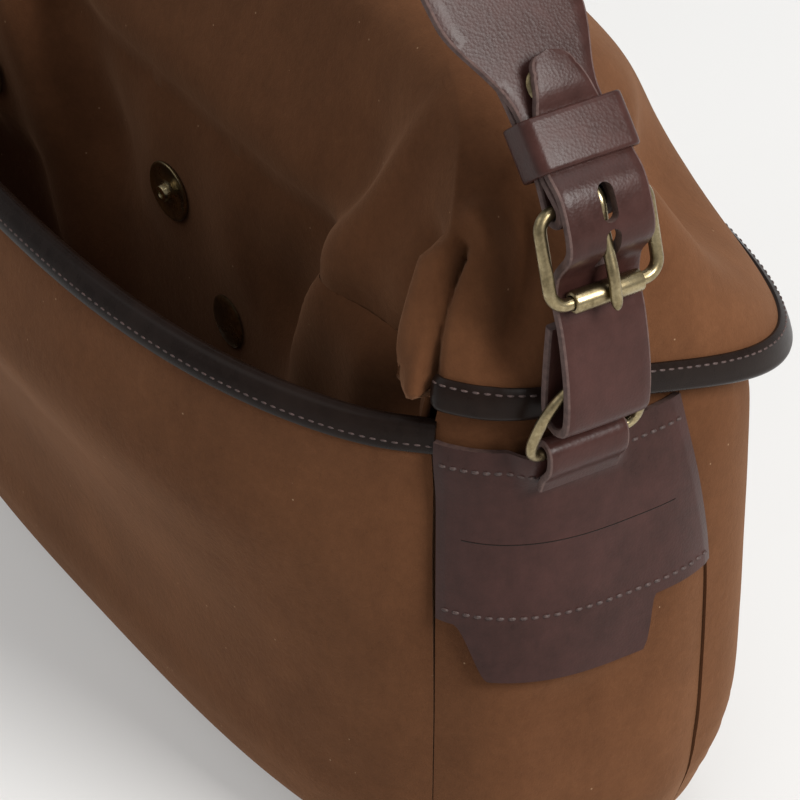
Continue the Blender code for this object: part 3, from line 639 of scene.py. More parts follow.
def base_material(name, colour, roughness, metallic=0.0):
    mat = bpy.data.materials.new(name)
    mat.use_nodes = True
    tree = mat.node_tree
    shader = tree.nodes["Principled BSDF"]
    shader.inputs["Base Color"].default_value = (*colour, 1.0)
    shader.inputs["Roughness"].default_value = roughness
    shader.inputs["Metallic"].default_value = metallic
    place = node(tree, "ShaderNodeTexCoord")
    return mat, tree, shader, place.outputs["Object"]


def noise(tree, place, scale, detail=4.0, rough=0.55, stretch=None):
    if stretch is not None:
        mapping = node(tree, "ShaderNodeMapping")
        mapping.inputs["Scale"].default_value = stretch
        tree.links.new(place, mapping.inputs["Vector"])
        place = mapping.outputs["Vector"]
    made = node(tree, "ShaderNodeTexNoise")
    made.inputs["Scale"].default_value = scale
    made.inputs["Detail"].default_value = detail
    made.inputs["Roughness"].default_value = rough
    tree.links.new(place, made.inputs["Vector"])
    return made.outputs["Fac"]


def mapped(tree, value, stops):
    """A colour ramp from (position, colour) stops."""
    made = node(tree, "ShaderNodeValToRGB")
    elements = made.color_ramp.elements
    while len(elements) < len(stops):
        elements.new(0.5)
    for element, (position, colour) in zip(elements, stops):
        element.position = position
        element.color = (*colour, 1.0)
    tree.links.new(value, made.inputs["Fac"])
    return made.outputs["Color"]


def spread(tree, value, low, high, to_low, to_high):
    """The range from low to high stretched over another one."""
    made = node(tree, "ShaderNodeMapRange")
    made.inputs["From Min"].default_value = low
    made.inputs["From Max"].default_value = high
    made.inputs["To Min"].default_value = to_low
    made.inputs["To Max"].default_value = to_high
    tree.links.new(value, made.inputs["Value"])
    return made.outputs["Result"]


def mixed(tree, amount, base_colour, other):
    """A colour socket turned towards another, constant colour by an amount."""
    made = node(tree, "ShaderNodeMix", data_type="RGBA", blend_type="MIX")
    tree.links.new(amount, next(s for s in made.inputs if s.name == "Factor"))
    first, second = (s for s in made.inputs if s.type == "RGBA")
    tree.links.new(base_colour, first)
    second.default_value = (*other, 1.0)
    return next(s for s in made.outputs if s.type == "RGBA")


def summed(tree, pairs):
    """Weighted sum of values."""
    total = None
    for value, weight in pairs:
        scaled = node(tree, "ShaderNodeMath", operation="MULTIPLY")
        tree.links.new(value, scaled.inputs[0])
        scaled.inputs[1].default_value = weight
        if total is None:
            total = scaled.outputs[0]
        else:
            add = node(tree, "ShaderNodeMath", operation="ADD")
            tree.links.new(total, add.inputs[0])
            tree.links.new(scaled.outputs[0], add.inputs[1])
            total = add.outputs[0]
    return total


def bump(tree, shader, height, strength, distance):
    made = node(tree, "ShaderNodeBump")
    made.inputs["Strength"].default_value = strength
    made.inputs["Distance"].default_value = distance
    tree.links.new(height, made.inputs["Height"])
    tree.links.new(made.outputs["Normal"], shader.inputs["Normal"])


def suede_material():
    mat, tree, shader, place = base_material("suede", (0.105, 0.039, 0.0125), 0.95)
    cloud = noise(tree, place, 14.0, 5.0, 0.6)
    blotch = noise(tree, place, 62.0, 4.0, 0.6)
    nap = noise(tree, place, 420.0, 3.0, 0.65)
    fine = noise(tree, place, 1900.0, 2.0, 0.7)
    brushed = noise(tree, place, 95.0, 5.0, 0.7, (1.0, 1.0, 0.35))
    tone = summed(tree, [(cloud, 0.34), (blotch, 0.2), (brushed, 0.18), (nap, 0.16), (fine, 0.12)])
    colour = mapped(tree, tone, [
        (0.30, (0.048, 0.0180, 0.0070)),
        (0.44, (0.078, 0.0300, 0.0120)),
        (0.56, (0.100, 0.0395, 0.0162)),
        (0.72, (0.138, 0.0570, 0.0245)),
    ])
    lint = node(tree, "ShaderNodeTexVoronoi", feature="F1")
    lint.inputs["Scale"].default_value = 135.0
    tree.links.new(place, lint.inputs["Vector"])
    speck = spread(tree, lint.outputs["Distance"], 0.045, 0.03, 0.0, 0.75)
    colour = mixed(tree, speck, colour, (0.30, 0.19, 0.115))
    tree.links.new(colour, shader.inputs["Base Color"])
    shader.inputs["Sheen Weight"].default_value = 0.28
    shader.inputs["Sheen Roughness"].default_value = 0.45
    shader.inputs["Sheen Tint"].default_value = (0.75, 0.42, 0.24, 1.0)
    shader.inputs["Specular IOR Level"].default_value = 0.12
    height = summed(tree, [(fine, 0.35), (nap, 0.5), (blotch, 0.5), (brushed, 0.4)])
    bump(tree, shader, height, 0.5, 0.0006)
    return mat


def leather_material(name, dark, light, roughness, grain_scale, grain, coat, shine):
    mat, tree, shader, place = base_material(name, dark, roughness)
    cloud = noise(tree, place, 30.0, 4.0, 0.6)
    fleck = noise(tree, place, 260.0, 4.0, 0.65)
    pores = node(tree, "ShaderNodeTexVoronoi", feature="F1")
    pores.inputs["Scale"].default_value = grain_scale
    tree.links.new(place, pores.inputs["Vector"])
    crease = noise(tree, place, 150.0, 6.0, 0.7, (1.0, 1.0, 0.3))
    tone = summed(tree, [(cloud, 0.5), (fleck, 0.25), (crease, 0.25)])
    colour = mapped(tree, tone, [(0.34, dark), (0.66, light)])
    tree.links.new(colour, shader.inputs["Base Color"])
    rough = spread(tree, tone, 0.3, 0.7, roughness - 0.09, roughness + 0.12)
    tree.links.new(rough, shader.inputs["Roughness"])
    shader.inputs["Specular IOR Level"].default_value = shine
    shader.inputs["Coat Weight"].default_value = coat
    shader.inputs["Coat Roughness"].default_value = 0.14
    height = summed(tree, [(pores.outputs["Distance"], 0.55), (fleck, 0.35), (crease, 0.6)])
    bump(tree, shader, height, grain, 0.0003)
    return mat


def raw_edge_material():
    mat, tree, shader, place = base_material("raw_edge", (0.07, 0.036, 0.03), 0.75)
    fibres = noise(tree, place, 500.0, 5.0, 0.7)
    colour = mapped(tree, fibres, [(0.35, (0.048, 0.023, 0.019)), (0.65, (0.094, 0.052, 0.043))])
    tree.links.new(colour, shader.inputs["Base Color"])
    bump(tree, shader, fibres, 0.25, 0.0002)
    return mat


def brass_material():
    mat, tree, shader, place = base_material("aged_brass", (0.36, 0.26, 0.12), 0.3, 1.0)
    cloud = noise(tree, place, 110.0, 5.0, 0.65)
    fine = noise(tree, place, 900.0, 4.0, 0.6)
    tone = summed(tree, [(cloud, 0.7), (fine, 0.3)])
    colour = mapped(tree, tone, [
        (0.36, (0.12, 0.092, 0.048)),
        (0.50, (0.27, 0.215, 0.120)),
        (0.66, (0.44, 0.365, 0.215)),
    ])
    tree.links.new(colour, shader.inputs["Base Color"])
    rough = spread(tree, tone, 0.35, 0.65, 0.42, 0.22)
    tree.links.new(rough, shader.inputs["Roughness"])
    bump(tree, shader, fine, 0.12, 0.0002)
    return mat


def thread_material(name, colour):
    mat, tree, shader, place = base_material(name, colour, 0.6)
    twist = noise(tree, place, 1500.0, 2.0, 0.6)
    dark = tuple(c * 0.6 for c in colour)
    light = tuple(min(c * 1.4, 1.0) for c in colour)
    tree.links.new(mapped(tree, twist, [(0.35, dark), (0.65, light)]), shader.inputs["Base Color"])
    bump(tree, shader, twist, 0.5, 0.0002)
    return mat


def floor_material():
    mat, tree, shader, place = base_material("floor_paper_painted_glow", (0.46, 0.457, 0.450), 0.85)
    grain = noise(tree, place, 8.0, 3.0, 0.5)
    colour = mapped(tree, grain, [(0.3, (0.455, 0.452, 0.445)), (0.7, (0.465, 0.462, 0.455))])
    tree.links.new(colour, shader.inputs["Base Color"])
    # The floor glows faintly: painted light that lifts the bag's shadow on it towards white.
    shader.inputs["Emission Color"].default_value = (1.0, 0.985, 0.96, 1.0)
    shader.inputs["Emission Strength"].default_value = 0.28
    return mat


SUEDE_MAT = suede_material()
BINDING_MAT = leather_material(
    "binding_leather", (0.0065, 0.0036, 0.0026), (0.014, 0.0080, 0.0060), 0.28, 1500.0, 0.08, 0.0, 0.1
)
LEATHER_MAT = leather_material(
    "strap_leather", (0.024, 0.0094, 0.0074), (0.052, 0.0205, 0.0170), 0.32, 1250.0, 0.2, 0.0, 0.16
)
RAW_MAT = raw_edge_material()
BRASS_MAT = brass_material()
ROSE_THREAD = thread_material("thread_rose", (0.048, 0.026, 0.022))

# Suede walls

# Each fold runs along a line of points in millimetres on the +X end's side of its wall
FRONT_FOLDS = (
    dict(line=((146, 66, 16), (150, 70, 60), (150, 70, 100), (142, 70, 165)),
         depth=4.2, left=26, right=26),
    dict(line=((40, 78, 20), (60, 78, 80), (30, 78, 140)), depth=-1.8, left=26, right=20),
    dict(line=((-60, 78, 30), (-30, 78, 100), (-50, 78, 160)), depth=1.8, left=24, right=24),
)
POCKET_FOLDS = (
    dict(line=((60, -78, 150), (20, -90, 120), (-60, -84, 90)), depth=1.4, left=10, right=14),
)
GUSSET_FOLDS = (
    dict(line=((168, -2, 20), (172, -4, 60), (172, -4, 90)), depth=-1.8, left=12, right=16),
)
HOOD_FOLDS = (
    # The dart's seam, then the roll beside it and the roll's turned top
    dict(line=((154, -38, 160), (153, -37, 174), (151, -34, 183), (149, -31, 190),
               (147, -27, 198), (145, -23, 206), (143, -19, 212)),
         depth=-8.0, left=1.6, right=2.2, near=0.0, far=0.1),
    dict(line=((146, -36, 150), (146, -35, 166), (144, -32, 182), (142, -28, 194),
               (140, -23, 204), (139, -19, 211)),
         depth=6.0, left=5.5, right=6.0, near=0.1, far=0.15),
    dict(line=((137, -17, 211), (143, -14, 216), (150, -16, 212), (153, -20, 205)),
         depth=3.4, left=3.6, right=3.6, near=0.3, far=0.5),
    # The hollows beside the roll and round the dart
    dict(line=((124, -24, 140), (127, -24, 157), (130, -26, 172), (132, -26, 188),
               (133, -22, 200), (135, -16, 210)),
         depth=-5.5, left=8.0, right=5.0, near=0.15, far=0.15),
    dict(line=((136, -4, 222), (148, -6, 219), (156, -10, 211), (161, -15, 202),
               (165, -20, 190), (168, -22, 178)),
         depth=-11.0, left=8.0, right=7.0, near=0.3, far=0.35),
    # The wall's flank, its ridge with the hollow behind it, and a low swell
    dict(line=((94, -22, 110), (102, -22, 140), (109, -24, 165), (114, -24, 185)),
         depth=8.0, left=16.0, right=12.0, near=0.25, far=0.4),
    dict(line=((58, -20, 116), (74, -22, 145), (91, -24, 177), (101, -21, 198),
               (106, -12, 212), (110, -4, 230), (108, 8, 236)),
         depth=3.0, left=4.0, right=12.0, near=0.2, far=0.3),
    dict(line=((42, -16, 116), (59, -18, 148), (77, -20, 177), (89, -16, 198),
               (95, -8, 211), (100, 0, 228)),
         depth=-6.5, left=15.0, right=7.0, near=0.2, far=0.3),
    dict(line=((30, -12, 120), (20, -12, 150), (30, -6, 180)),
         depth=2.4, left=16.0, right=10.0, near=0.3, far=0.4),
)


def fold_all(points, normals, table):
    for fold in table:
        points = add_fold(points, normals, **fold)
    return points


def slumped(grid):
    """The top of the bag sinks back behind each front corner."""
    result = grid.copy()
    x = np.abs(grid[..., 0]) / MM
    z = grid[..., 2] / MM
    off_x = (x - SLUMP_PLACE[0]) / SLUMP_SIZE[0]
    off_z = (z - SLUMP_PLACE[1]) / SLUMP_SIZE[1]
    slump = np.exp(-(off_x**2) - off_z**2)
    result[..., 1] -= SLUMP_DEPTH * MM * slump * ramp(grid[..., 1] / MM, SLUMP_START, SLUMP_FULL)
    return result


def suede_sheet(name, rows, cols, point, outside, folds):
    """A folded suede wall from the points of its outer face; also gives its grid and normals."""
    places = [[(r / (rows - 1), c / (cols - 1)) for c in range(cols)] for r in range(rows)]
    grid = np.array([[point(*place) for place in row] for row in places])
    normals = outward(grid_normals(grid), grid, outside)
    grid = fold_all(slumped(grid), normals, folds)
    normals = outward(grid_normals(grid), grid, outside)
    made = shell(name, grid, grid - normals * SUEDE, SUEDE_MAT)
    return made, grid, normals


ROW_CROWDING = 1.25


def crowded(row):
    """Rows lie closer together near the base."""
    return row**ROW_CROWDING


def front_point(row, column):
    height = crowded(row) * FRONT_PANEL_TOP
    angle = (2 * column - 1) * (front_seam(height) - SEAM_GAP_ANGLE)
    return body_point(angle, height)


def gusset_point(row, column):
    height = crowded(row) * GUSSET_TOP
    start = front_seam(height) + SEAM_GAP_ANGLE
    angle = start + column * (BACK_SEAM - SEAM_GAP_ANGLE - start)
    return body_point(angle, height)


def pocket_panel_point(row, column):
    start = BACK_SEAM + SEAM_GAP_ANGLE
    angle = start + column * 2 * (math.pi - start)
    return pocket_point(angle, crowded(row))


front = suede_sheet("front_panel_suede", 90, 150, front_point, (0, 1, 0.1), FRONT_FOLDS)[0]
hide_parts("front_panel")
gusset, gusset_grid, gusset_normals = suede_sheet(
    "gusset_suede_right", 90, 60, gusset_point, (1, 0, 0.1), GUSSET_FOLDS
)
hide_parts("gusset_right")
gusset_far = mirrored(gusset, "gusset_suede_left")
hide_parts("gusset_left")
pocket, pocket_grid, pocket_normals = suede_sheet(
    "pocket_panel_suede", 110, 190, pocket_panel_point, (0, -1, 0.1), POCKET_FOLDS
)
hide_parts("pocket_panel")


DART_X = 145
DART_REACH = 22
DART_CROWDING = 2.2
HOOD_ROWS = 74
HOOD_TOP_LEVEL = 5.98
HOOD_ROW_POWER = 1.2
WALL_ROWS = 62
WALL_ROW_POWER = 1.35
INSIDE = (0.0, 0.02, 0.12)


def spaced_angles(power, reach, count):
    """Angles over a quarter of the hood's edge, closer together at the dart."""
    even = np.linspace(0.0, 1.0, 4001)
    fine = math.pi / 2 * even * even * (3 - 2 * even)
    x = HOOD_LEVELS["half_length"][0] * np.sin(fine) ** (2 / power)
    y = reach * np.cos(fine) ** (2 / power)
    steps = np.hypot(np.diff(x), np.diff(y))
    middle = (x[1:] + x[:-1]) / 2
    crowding = 1 + DART_CROWDING * np.exp(-(((middle - DART_X) / DART_REACH) ** 2))
    run = np.concatenate([[0.0], np.cumsum(steps * crowding)])
    return np.interp(np.linspace(0.0, run[-1], count), run, fine)


EAR_LIMIT = math.pi - math.asin(EAR_START ** (HOOD_LEVELS["power"][0] / 2))


def build_hood():
    """The back wall and the hood, with the dart at each corner and the wall's folds."""
    edge_power = HOOD_LEVELS["power"][0]
    front_quarter = spaced_angles(edge_power, HOOD_LEVELS["front_reach"][0], 70)
    back_reach = HOOD_LEVELS["back_reach"][0]
    back_quarter = math.pi - spaced_angles(edge_power, back_reach, 130)[::-1]
    half_round = list(front_quarter) + list(back_quarter[1:])
    angles = half_round + [-a for a in reversed(half_round[1:-1])]
    columns = len(angles)
    level_shares = [(k / (HOOD_ROWS - 1)) ** HOOD_ROW_POWER for k in range(HOOD_ROWS)]
    levels = [HOOD_TOP_LEVEL * share for share in level_shares]
    grid = np.array([[hood_point(angle, level) for angle in angles] for level in levels])
    limit = math.pi - math.asin(WALL_END ** (edge_power / 2))
    wall = {c for c in range(columns) if abs(angles[c]) >= limit}
    wide = [c for c in range(columns) if abs(angles[c]) >= EAR_LIMIT]
    drops = [(k / (WALL_ROWS - 1)) ** WALL_ROW_POWER for k in range(WALL_ROWS)]
    heights = [WALL_TOP - (WALL_TOP - WALL_FOOT) * drop for drop in drops]
    below = np.array([[wall_point(angles[c], height) for c in wide] for height in heights])
    wrapped = np.concatenate([grid[:, -1:], grid, grid[:, :1]], axis=1)
    normals = grid_normals(wrapped)[:, 1:-1]
    normals = -outward(normals, grid, INSIDE)
    joined = np.concatenate([grid[::-1][:, wide], below])
    joined_normals = outward(grid_normals(joined), joined, (0, -1, 0.1))
    below_normals = joined_normals[len(levels):]
    for r in range(BLENDED_ROWS):
        share = r / BLENDED_ROWS
        blend = joined_normals[len(levels) - 1 - r] * (1 - share) + normals[r, wide] * share
        normals[r, wide] = blend / np.linalg.norm(blend, axis=-1, keepdims=True)
    grid = fold_all(slumped(grid), normals, HOOD_FOLDS)
    below = fold_all(below, below_normals, HOOD_FOLDS)
    verts = list(grid.reshape(-1, 3))
    faces = []
    for r in range(len(levels) - 1):
        for c in range(columns):
            n = (c + 1) % columns
            a = r * columns
            faces.append((a + c, a + n, a + columns + n, a + columns + c))
    faces.append(tuple((len(levels) - 1) * columns + c for c in range(columns)))
    above = dict(zip(wide, wide))
    for r, height in enumerate(heights):
        row = {}
        for k, c in enumerate(wide):
            if c in wall or height > CORNER_STRIP_FOOT:
                row[c] = len(verts)
                verts.append(below[r, k])
        for c, n in zip(wide, wide[1:]):
            if c in row and n in row:
                faces.append((above[c], above[n], row[n], row[c]))
        above = row
    made = new_object("hood_suede", verts, faces, SUEDE_MAT, None, 60)
    top = max(made.data.polygons, key=lambda f: f.center.z)
    if top.normal.z < 0:
        made.data.flip_normals()
    wall_modifier = made.modifiers.new("wall", "SOLIDIFY")
    wall_modifier.thickness = SUEDE
    wall_modifier.offset = -1.0
    whole = finished(made, "hood_and_back_wall_suede")
    bpy.data.objects.remove(made, do_unlink=True)
    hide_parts("hood_and_back_wall")
    return whole, grid, normals, angles


hood, hood_grid, hood_normals, hood_columns = build_hood()

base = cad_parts["base_panel"]
base.data.materials.clear()
base.data.materials.append(SUEDE_MAT)

# Bindings

BINDING_T = 1.3 * MM
BINDING_LEG = 7.0 * MM
BINDING_OVERHANG = 1.0 * MM
BINDING_OFF = 0.12 * MM
BINDING_SWELL = 0.55 * MM
BINDING_THREAD_OUT = 0.26 * MM


def binding_profile(steps=14):
    """Folded strip over a wall's edge as (out, down) pairs, outer leg first."""
    out = BINDING_OFF
    back = -SUEDE - BINDING_OFF
    t = BINDING_T
    middle = (out + back) / 2
    half = (out - back) / 2 + t
    outer = []
    for k in range(7):
        share = k / 6
        swell = BINDING_SWELL * math.sin(math.pi * share) ** 0.8
        thick = t * (0.55 + 0.45 * min(share * 6, 1))
        outer.append((out + thick + swell * 0.7, BINDING_LEG * (1 - share)))
    for k in range(1, steps):
        a = math.pi * k / steps
        outer.append((middle + half * math.cos(a), -half * 0.9 * math.sin(a)))
    outer += [(back - t, 0.0), (back - t, BINDING_LEG * 0.5), (back - t, BINDING_LEG * 0.93)]
    outer += [(back, BINDING_LEG), (back, BINDING_LEG * 0.5), (back, -0.3 * MM)]
    outer += [(out, -0.3 * MM), (out, BINDING_LEG * 0.5), (out, BINDING_LEG)]
    return outer


def binding(node_name, edges, downs, normals, stitch_at):
    """Binding along an edge from its points, the ways down the wall and out of it."""
    name = node_name + "_leather"
    profile = binding_profile()
    rings = []
    seam = []
    for edge, down, normal in zip(edges, downs, normals):
        rings.append([edge + normal * n + down * d for n, d in profile])
        seam.append(edge + normal * (BINDING_OFF + BINDING_T + BINDING_THREAD_OUT) + down * stitch_at)
    made = swept(name, [[Vector(v) for v in ring] for ring in rings], BINDING_MAT, sharp=50)
    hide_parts(node_name)
    stitches(name + "_stitches", seam, normals)


def edge_frame(edge, inner, outside_normals):
    """Smooth edge points with their down and outward directions."""
    edge = np.array(edge)
    along = np.gradient(edge, axis=0)
    along /= np.linalg.norm(along, axis=1, keepdims=True)
    down = np.array(inner) - edge
    down -= along * (down * along).sum(axis=1, keepdims=True)
    down /= np.linalg.norm(down, axis=1, keepdims=True)
    normal = np.cross(down, along)
    flip = np.sign((normal * outside_normals).sum(axis=1, keepdims=True))
    return edge, down, normal * flip


def along_line(points):
    """Distance travelled at each point of a line."""
    steps = np.linalg.norm(np.diff(points, axis=0), axis=1)
    return np.concatenate([[0.0], np.cumsum(steps)])


def row_below(grid, distance):
    """For each column, the point on the grid a distance away from its first row."""
    result = []
    for column in grid.transpose(1, 0, 2):
        run = along_line(column)
        result.append([np.interp(distance, run, column[:, k]) for k in range(3)])
    return np.array(result)


pocket_frame = edge_frame(
    pocket_grid[-1], row_below(pocket_grid[::-1], BINDING_LEG), pocket_normals[-1]
)
pocket_edge, pocket_down, pocket_out = (np.concatenate([v[:1], v, v[-1:]]) for v in pocket_frame)
for end, inside in ((0, 2), (-1, -3)):
    reach = pocket_edge[end] - pocket_edge[inside]
    pocket_edge[end] += reach / np.linalg.norm(reach) * BINDING_OVERHANG
binding("pocket_binding", pocket_edge, pocket_down, pocket_out, 4.4 * MM)

ear = [c for c in range(len(hood_columns)) if abs(hood_columns[c]) <= EAR_LIMIT]
ear.sort(key=lambda c: -hood_columns[c])
ear_grid = hood_grid[:, ear]
ear_edge, ear_down, ear_out = edge_frame(
    ear_grid[0], row_below(ear_grid, BINDING_LEG), hood_normals[0, ear]
)
binding("flap_binding", ear_edge, ear_down, ear_out, 5.4 * MM)

# End patch and ring loop


def patch_bottom(y):
    off = abs(y - HARDWARE_Y)
    share = (PATCH_SLOPE_HALF - off) / (PATCH_SLOPE_HALF - PATCH_TAB_HALF)
    share = min(max(share, 0.0), 1.0)
    share = share * share * (3 - 2 * share)
    return PATCH_BOTTOM + (PATCH_TAB_BOTTOM - PATCH_BOTTOM) * share


def gusset_surface(angle, height):
    """Point and outward direction on the folded gusset."""
    start = front_seam(height) + SEAM_GAP_ANGLE
    column = (angle - start) / (BACK_SEAM - SEAM_GAP_ANGLE - start) * (gusset_grid.shape[1] - 1)
    row = (height / GUSSET_TOP) ** (1 / ROW_CROWDING) * (gusset_grid.shape[0] - 1)
    c = int(min(max(column, 0), gusset_grid.shape[1] - 2))
    r = int(min(max(row, 0), gusset_grid.shape[0] - 2))
    u = column - c
    v = row - r
    result = []
    for data in (gusset_grid, gusset_normals):
        low = data[r, c] * (1 - u) + data[r, c + 1] * u
        high = data[r + 1, c] * (1 - u) + data[r + 1, c + 1] * u
        result.append(low * (1 - v) + high * v)
    return result


LOOP_HALF = 12.0
LOOP_RISE = 5.0
LOOP_RISE_FROM = 147.0
LOOP_RISE_TO = 161.0
PATCH_INSET = math.radians(0.9)
PATCH_OFF = 0.35
PILLOW = 0.5
PILLOW_ANGLE = math.radians(2.0)
RULE_HEIGHT = 132.5
RULE_DEPTH = -0.12 * MM
RULE_RADIUS = 0.22 * MM
RULE_FIRST = 18
RULE_LAST = 14
STITCH_ROWS = (("top", 154.5), ("bottom", 109.0))


def build_patch():
    """Points and outward directions of the patch, lifted off the gusset round the ring loop."""
    end = BACK_SEAM - PATCH_INSET
    cols = 150
    rows = 60
    outer = np.empty((rows, cols, 3))
    out = np.empty((rows, cols, 3))
    for c in range(cols):
        start = front_seam(PATCH_BOTTOM) + PATCH_INSET
        low = patch_bottom(body_point(start + (end - start) * c / (cols - 1), PATCH_BOTTOM).y / MM)
        for r in range(rows):
            height = low + (PATCH_TOP - low) * r / (rows - 1)
            start = front_seam(height) + PATCH_INSET
            angle = start + (end - start) * c / (cols - 1)
            y = body_point(angle, height).y / MM
            here, normal = gusset_surface(angle, height)
            normal = normal / np.linalg.norm(normal)
            edge = min(abs(angle - start), abs(end - angle)) / PILLOW_ANGLE
            pillow = PILLOW * min(edge, 1.0)
            near = 1 - float(ramp(abs(y - HARDWARE_Y), LOOP_HALF - 1.0, LOOP_HALF + 4.0))
            rise = float(ramp(height, LOOP_RISE_FROM, LOOP_RISE_TO)) * LOOP_RISE * near
            outer[r, c] = here + normal * (PATCH_OFF + PATCH_T / MM + pillow + rise) * MM
            out[r, c] = normal
    return outer, out


patch_grid, patch_out = build_patch()
patch_inner = patch_grid - patch_out * PATCH_T
patch = shell("patch_leather_right", patch_grid, patch_inner, [LEATHER_MAT, RAW_MAT], 32)


def patch_path(height):
    """Points and outward directions along the patch at one height."""
    rows, cols = patch_grid.shape[:2]
    points = []
    directions = []
    for c in range(3, cols - 3):
        row = float(np.interp(height * MM, patch_grid[:, c, 2], np.linspace(0, 1, rows))) * (rows - 1)
        r = int(min(max(row, 0), rows - 2))
        v = row - r
        points.append(patch_grid[r, c] * (1 - v) + patch_grid[r + 1, c] * v)
        directions.append(patch_out[r, c])
    return points, directions


for label, height in STITCH_ROWS:
    line, directions = patch_path(height)
    stitched = stitches(f"patch_stitches_{label}_right", line, directions, 2.3, 0.5)
    mirrored(stitched, f"patch_stitches_{label}_left")
# The debossed rule is a shallow groove; here it is a thin near-black bar sunk almost flush, painted
# shade that stands for the shadow in the groove.
rule_places = list(zip(*patch_path(RULE_HEIGHT)))[RULE_FIRST:-RULE_LAST]
rule = [Vector(place + away * RULE_DEPTH) for place, away in rule_places]
rule_shade_bar = round_bar(
    "patch_rule_right", rule, [RULE_RADIUS] * len(rule), BINDING_MAT, False, Vector((0, 0, 1)), 8
)
mirrored(rule_shade_bar, "patch_rule_left")
both_ends(patch, "patch")


def side_place(place):
    """An (x, z) place in millimetres in the plane of the strap's middle."""
    return Vector((place[0], HARDWARE_Y, place[1])) * MM


def side_view(points):
    return [side_place(p) for p in points]


def arc(centre, radius, start, end, steps):
    result = []
    for k in range(steps + 1):
        turn = math.radians(start + (end - start) * k / steps)
        result.append((centre[0] + radius * math.cos(turn), centre[1] + radius * math.sin(turn)))
    return result


def smooth_path(points, count):
    return [Vector(p) for p in resampled(points, count)]


def build_ring_loop():
    x, z = RING_BAR
    radius = RING_WIRE / 2 + GAP / MM + PATCH_T / MM / 2
    line = [(x - 1.7, z - 12.0), (x - 0.4, z - 8.5), (x + radius - 0.2, z - 3.8)]
    line += arc(RING_BAR, radius, 0, 180, 10)
    line += [(x - radius, z - 1.4)]
    path = smooth_path(side_view(line), 40)
    widths = [2 * LOOP_HALF * MM] * len(path)
    return strap("ring_loop_leather_right", path, widths, PATCH_T, [LEATHER_MAT, RAW_MAT], crown=0)


both_ends(build_ring_loop(), "ring_loop")


def build_ring():
    """The D-ring: a straight bar, two corners and a half round, leaning outwards."""
    half = (RING_WIDTH + RING_WIRE) / 2
    corner = 4.0
    rise = Vector((RING_LEAN, 0.0, 1.0)).normalized()
    points = []
    for k in range(9):
        points.append((-half + corner + (2 * half - 2 * corner) * k / 8, 0.0))
    points += arc((half - corner, corner), corner, -60, 0, 2)
    for k in range(1, 12):
        a = math.pi * k / 12
        points.append((half * math.cos(a), corner + (RING_DEPTH - corner) * math.sin(a)))
    points += arc((-half + corner, corner), corner, 180, 240, 2)
    bar = side_place(RING_BAR)
    path = [bar + (Vector((0, w, 0)) + rise * h) * MM for w, h in points]
    path = smooth_path(path + path[:1], 121)[:-1]
    across = Y_AXIS.cross(rise)
    radii = [RING_WIRE / 2 * MM] * len(path)
    return round_bar("d_ring_brass_right", path, radii, BRASS_MAT, True, across)


both_ends(build_ring(), "d_ring")

# Strap, tab and buckle

PLY = STRAP_T / 2 + GAP / 2 + 0.05 * MM
HEEL_WRAP = (BUCKLE_WIRE / 2 + BUCKLE_CLEARANCE) * MM + STRAP_T / 2
FINE_STRAP_END = 95.0
FOLD_SLOT = (17 * MM, 6 * MM, 16 * MM)
TAB_LIFTS = (
    (8.0, 1.1), (13.0, 0.6), (18.0, 0.5), (23.0, 0.9), (27.0, 2.4), (32.0, 2.9), (37.0, 2.9),
)
TAB_END_WIDTHS = [20.5, 18.5, 16.0, 13.0, 9.5]
TAB_HOLES = ((-13.0, 13.5), (0.5, 10.0))
TAB_STEPS = 170
TIP_LENGTH = 5.0
TIP_WIDTH = 11.0
ARCH_TURN = (-ARCH_POINTS[-2][0], ARCH_POINTS[-2][1], ARCH_POINTS[-2][2])
ARCH_LINE = resampled([Vector(p) * MM for p in ARCH_POINTS + (ARCH_TURN,)], 441)
STRAP_LINE = [Vector(p) for p in ARCH_LINE if p[0] > 0.2 * MM] + [Vector(ARCH_POINTS[-1]) * MM]


def lean():
    """Unit directions of the strap's start: upwards along it, and outwards."""
    up = Vector((ARCH_POINTS[1][0] - ARCH_POINTS[0][0], 0, ARCH_POINTS[1][2] - ARCH_POINTS[0][2]))
    up = up.normalized()
    return up, Vector((up.z, 0, -up.x))


def buckle_lean():
    """Unit directions of the buckle: from its roller to its heel bar, and outwards."""
    rise = Vector((HEEL_CENTRE[0] - ROLLER_CENTRE[0], 0, HEEL_CENTRE[1] - ROLLER_CENTRE[1]))
    rise = rise.normalized()
    return rise, Vector((rise.z, 0, -rise.x))


def strap_place(distance):
    """Point, up and outward directions on the strap line, a distance above the heel bar."""
    travelled = 0.0
    for a, b in zip(STRAP_LINE, STRAP_LINE[1:]):
        step = (b - a).length
        up = (b - a).normalized()
        out = Y_AXIS.cross(up).normalized()
        if travelled + step >= distance:
            return a + up * (distance - travelled), up, out
        travelled += step
    return STRAP_LINE[-1], up, out


